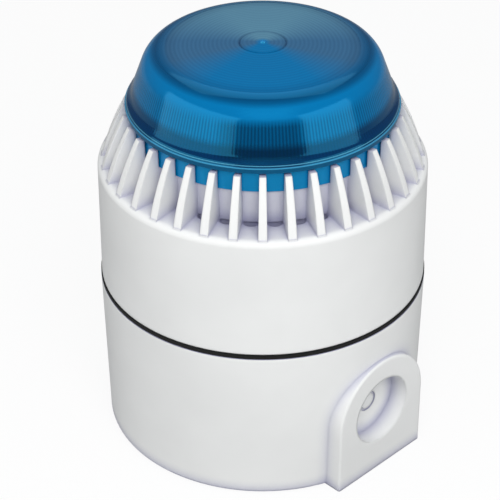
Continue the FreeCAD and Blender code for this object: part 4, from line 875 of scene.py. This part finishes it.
def glass_material():
    material, tree, shader = new_material("tube_glass")
    group = node(tree, "ShaderNodeGroup", node_tree=moulding_group())
    group.inputs["Color"].default_value = (0.93, 0.96, 0.97, 1)
    group.inputs["Shade"].default_value = (0.86, 0.9, 0.92, 1)
    group.inputs["Rough Low"].default_value = 0.02
    group.inputs["Rough High"].default_value = 0.06
    surface(tree, shader, group)
    shader.inputs["Transmission Weight"].default_value = 0.85
    shader.inputs["IOR"].default_value = 1.47
    return material


class OBJECT_OT_sounder_inside(bpy.types.Operator):
    """Finish the terminals, boards, driver, controls and flash parts inside"""

    bl_idname = "object.sounder_inside"
    bl_label = "Inner Pieces"

    def execute(self, context):
        finish = context.scene.sounder_finish
        white = moulded("white_inside", finish.housing, rough=(0.4, 0.55))
        paint_nodes(white, "terminal_carrier", "back_cover")
        green = moulded("terminal_green", finish.terminal, rough=(0.35, 0.5), bump=0.08)
        paint_nodes(green, "terminal_block")
        brass = stranded(
            "contact_brass", (0.78, 0.58, 0.28), (0.66, 0.46, 0.2), (0.18, 0.34), stretch=(2, 30, 2)
        )
        paint_nodes(brass, "terminal_clamps", "contact_springs", "contact_rails")
        disc = stranded("disc_brass", (0.8, 0.62, 0.32), (0.72, 0.54, 0.27), (0.22, 0.36), stretch=(30, 2, 2))
        paint_nodes(disc, "piezo_plate")
        steel = stranded(
            "screw_steel", (0.64, 0.64, 0.62), (0.5, 0.5, 0.49), (0.25, 0.42), stretch=(1, 1, 12)
        )
        paint_nodes(
            steel, "terminal_screws", "carrier_screws", "back_cover_screws", "board_screws", "baffle_screws"
        )
        black = moulded("black_moulding", finish.black, rough=(0.38, 0.55), bump=0.1)
        paint_nodes(black, "contact_block", "sound_baffle", "driver_cup", "driver_clamp_ring", "tube_sockets")
        chip = moulded("chip_resin", finish.black, rough=(0.5, 0.65), grain=6000.0, bump=0.15)
        paint_nodes(chip, "controller_chip", "board_chips")
        paint_nodes(laminate_material(finish), "sounder_board", "link_board", "beacon_board")
        paint_nodes(moulded("switch_red", finish.switch, rough=(0.3, 0.45)), "tone_switch_body")
        paint_nodes(moulded("control_blue", finish.control, rough=(0.3, 0.42)), "volume_body")
        sliders = [f"tone_slider_{number}" for number in range(1, 6)]
        paint_nodes(moulded("slider_white", (0.82, 0.82, 0.79), rough=(0.35, 0.5)), "volume_rotor", *sliders)
        sleeve = moulded("capacitor_sleeve", finish.sleeve, rough=(0.25, 0.4), bump=0.06)
        paint_nodes(sleeve, "supply_capacitors", "flash_capacitor")
        wound = stranded(
            "coil_copper",
            (0.62, 0.27, 0.12),
            (0.34, 0.12, 0.05),
            (0.22, 0.4),
            stretch=(1, 1, 40),
            scale=300.0,
            bump=0.5,
        )
        paint_nodes(wound, "boost_coil", "trigger_coil")
        silvered = moulded("silvered_ceramic", (0.78, 0.76, 0.7), rough=(0.3, 0.5), bump=0.12)
        paint_nodes(silvered, "piezo_ceramic")
        bright = stranded(
            "reflector_bright", (0.86, 0.87, 0.89), (0.8, 0.81, 0.84), (0.06, 0.14), scale=80.0, bump=0.02
        )
        paint_nodes(bright, "reflector")
        paint_nodes(glass_material(), "flash_tube")
        return {"FINISHED"}


# ---------------------------------------------------------------- stage


# side of the floor in metres, its gap below the base, its grey, and its glow with the share seen of it
FLOOR_SIDE = 6
FLOOR_DROP = 0.1 * MM
FLOOR_GREY = (0.38, 0.38, 0.38, 1)
FLOOR_GLOW = 1.22
GLOW_SHARE = 0.72
# colour and strength of the world as light, as a reflection and behind the sounder
WORLD_LIGHT = ((0.96, 0.98, 1.0, 1), 0.52)
WORLD_MIRRORED = ((0.85, 0.93, 1.0, 1), 0.14)
WORLD_SEEN = (WHITE, 1.0)
SENSOR_WIDTH = 36
LAMP_REACH = 900 * MM
# name, turn from the camera and height angle in degrees, width and height in millimetres, watts
LAMPS = (
    ("front_softbox", math.degrees(0.1), 46, 600, 600, 5.2),
    ("left_panel", -60, 16, 1300, 600, 1.5),
    ("right_panel", 59, 16, 800, 600, 0.9),
    ("back_panel", 180, 62, 900, 500, 0.5),
)


class OBJECT_OT_sounder_stage(bpy.types.Operator):
    """Lay the floor, hang the lights and place the camera"""

    bl_idname = "object.sounder_stage"
    bl_label = "Stage"

    def execute(self, context):
        sizes = context.scene.sounder_stage
        add_floor()
        add_world()
        centre = Vector((0, 0, sizes.target_height))
        for name, turn, lift, width, height, watts in LAMPS:
            towards = direction(sizes.azimuth + math.radians(turn), math.radians(lift))
            add_lamp(name, centre, towards * LAMP_REACH, width, height, watts)
        bpy.data.objects["front_softbox"].visible_glossy = False
        add_camera(sizes, centre)
        bpy.context.scene.view_settings.view_transform = "Standard"
        return {"FINISHED"}


def direction(azimuth, elevation):
    """Unit vector towards an azimuth, turned from -Y to +X, and an elevation."""
    flat = math.cos(elevation)
    return Vector((math.sin(azimuth) * flat, -math.cos(azimuth) * flat, math.sin(elevation)))


def aim(item, target):
    item.rotation_euler = (target - item.location).to_track_quat("-Z", "Y").to_euler()


def add_lamp(name, target, offset, width, height, watts):
    """Rectangular lamp that faces a point from an offset; width and height in millimetres."""
    deselect()
    bpy.ops.object.light_add(type="AREA", location=target + offset)
    lamp = bpy.context.object
    lamp.name = name
    lamp.data.shape = "RECTANGLE"
    lamp.data.size = width * MM
    lamp.data.size_y = height * MM
    lamp.data.energy = watts
    aim(lamp, target)


def add_camera(sizes, centre):
    deselect()
    bpy.ops.object.camera_add(location=centre + direction(sizes.azimuth, sizes.elevation) * sizes.distance)
    camera = bpy.context.object
    camera.data.lens = sizes.focal_length
    camera.data.sensor_width = SENSOR_WIDTH
    camera.data.shift_x = sizes.shift
    aim(camera, centre)
    bpy.context.scene.camera = camera


def add_floor():
    deselect()
    bpy.ops.mesh.primitive_plane_add(size=FLOOR_SIDE, location=(0, 0, CAD_BOX[0][2] - FLOOR_DROP))
    floor = bpy.context.object
    floor.name = "studio_floor"
    material, tree, shader = new_material("studio_white")
    shader.inputs["Base Color"].default_value = FLOOR_GREY
    shader.inputs["Roughness"].default_value = 0.9
    path = node(tree, "ShaderNodeLightPath")
    glow = node(tree, "ShaderNodeEmission", [("Color", WHITE), ("Strength", FLOOR_GLOW)])
    share = arithmetic(tree, path.outputs["Is Camera Ray"], GLOW_SHARE)
    mix = node(tree, "ShaderNodeMixShader", [(0, share), (1, shader.outputs[0]), (2, glow.outputs[0])])
    tree.links.new(mix.outputs[0], tree.nodes["Material Output"].inputs["Surface"])
    floor.data.materials.append(material)


def add_world():
    world = bpy.data.worlds.new("studio")
    bpy.context.scene.world = world
    world.use_nodes = True
    tree = world.node_tree
    light = tree.nodes["Background"]
    mirrored, seen = tree.nodes.new("ShaderNodeBackground"), tree.nodes.new("ShaderNodeBackground")
    for item, (tone, strength) in ((light, WORLD_LIGHT), (mirrored, WORLD_MIRRORED), (seen, WORLD_SEEN)):
        item.inputs["Color"].default_value = tone
        item.inputs["Strength"].default_value = strength
    path = node(tree, "ShaderNodeLightPath").outputs
    glossy = [(0, path["Is Glossy Ray"]), (1, light.outputs[0]), (2, mirrored.outputs[0])]
    lit = node(tree, "ShaderNodeMixShader", glossy)
    direct = [(0, path["Is Camera Ray"]), (1, lit.outputs[0]), (2, seen.outputs[0])]
    mix = node(tree, "ShaderNodeMixShader", direct)
    tree.links.new(mix.outputs[0], tree.nodes["World Output"].inputs["Surface"])


# ---------------------------------------------------------------- panel and registration


BUILDERS = (
    OBJECT_OT_sounder_base,
    OBJECT_OT_sounder_head,
    OBJECT_OT_sounder_seals,
    OBJECT_OT_sounder_lens,
    OBJECT_OT_sounder_inside,
    OBJECT_OT_sounder_stage,
)


class VIEW3D_PT_sounder(bpy.types.Panel):
    """Buttons for each piece of the sounder."""

    bl_label = "Wall Sounder Beacon"
    bl_idname = "VIEW3D_PT_sounder"
    bl_space_type = "VIEW_3D"
    bl_region_type = "UI"
    bl_category = "Sounder"

    def draw(self, context):
        for builder in BUILDERS:
            self.layout.operator(builder.bl_idname)


GROUPS = (SounderLens, SounderFinish, SounderStage)
CLASSES = (*GROUPS, *BUILDERS, VIEW3D_PT_sounder)


def register():
    for item in CLASSES:
        bpy.utils.register_class(item)
    bpy.types.Scene.sounder_lens = PointerProperty(type=SounderLens)
    bpy.types.Scene.sounder_finish = PointerProperty(type=SounderFinish)
    bpy.types.Scene.sounder_stage = PointerProperty(type=SounderStage)


def unregister():
    del bpy.types.Scene.sounder_stage
    del bpy.types.Scene.sounder_finish
    del bpy.types.Scene.sounder_lens
    for item in reversed(CLASSES):
        bpy.utils.unregister_class(item)


def main():
    register()
    bpy.ops.object.sounder_base()
    bpy.ops.object.sounder_head()
    bpy.ops.object.sounder_seals()
    bpy.ops.object.sounder_lens()
    bpy.ops.object.sounder_inside()
    bpy.ops.object.sounder_stage()


if __name__ == "__main__":
    main()
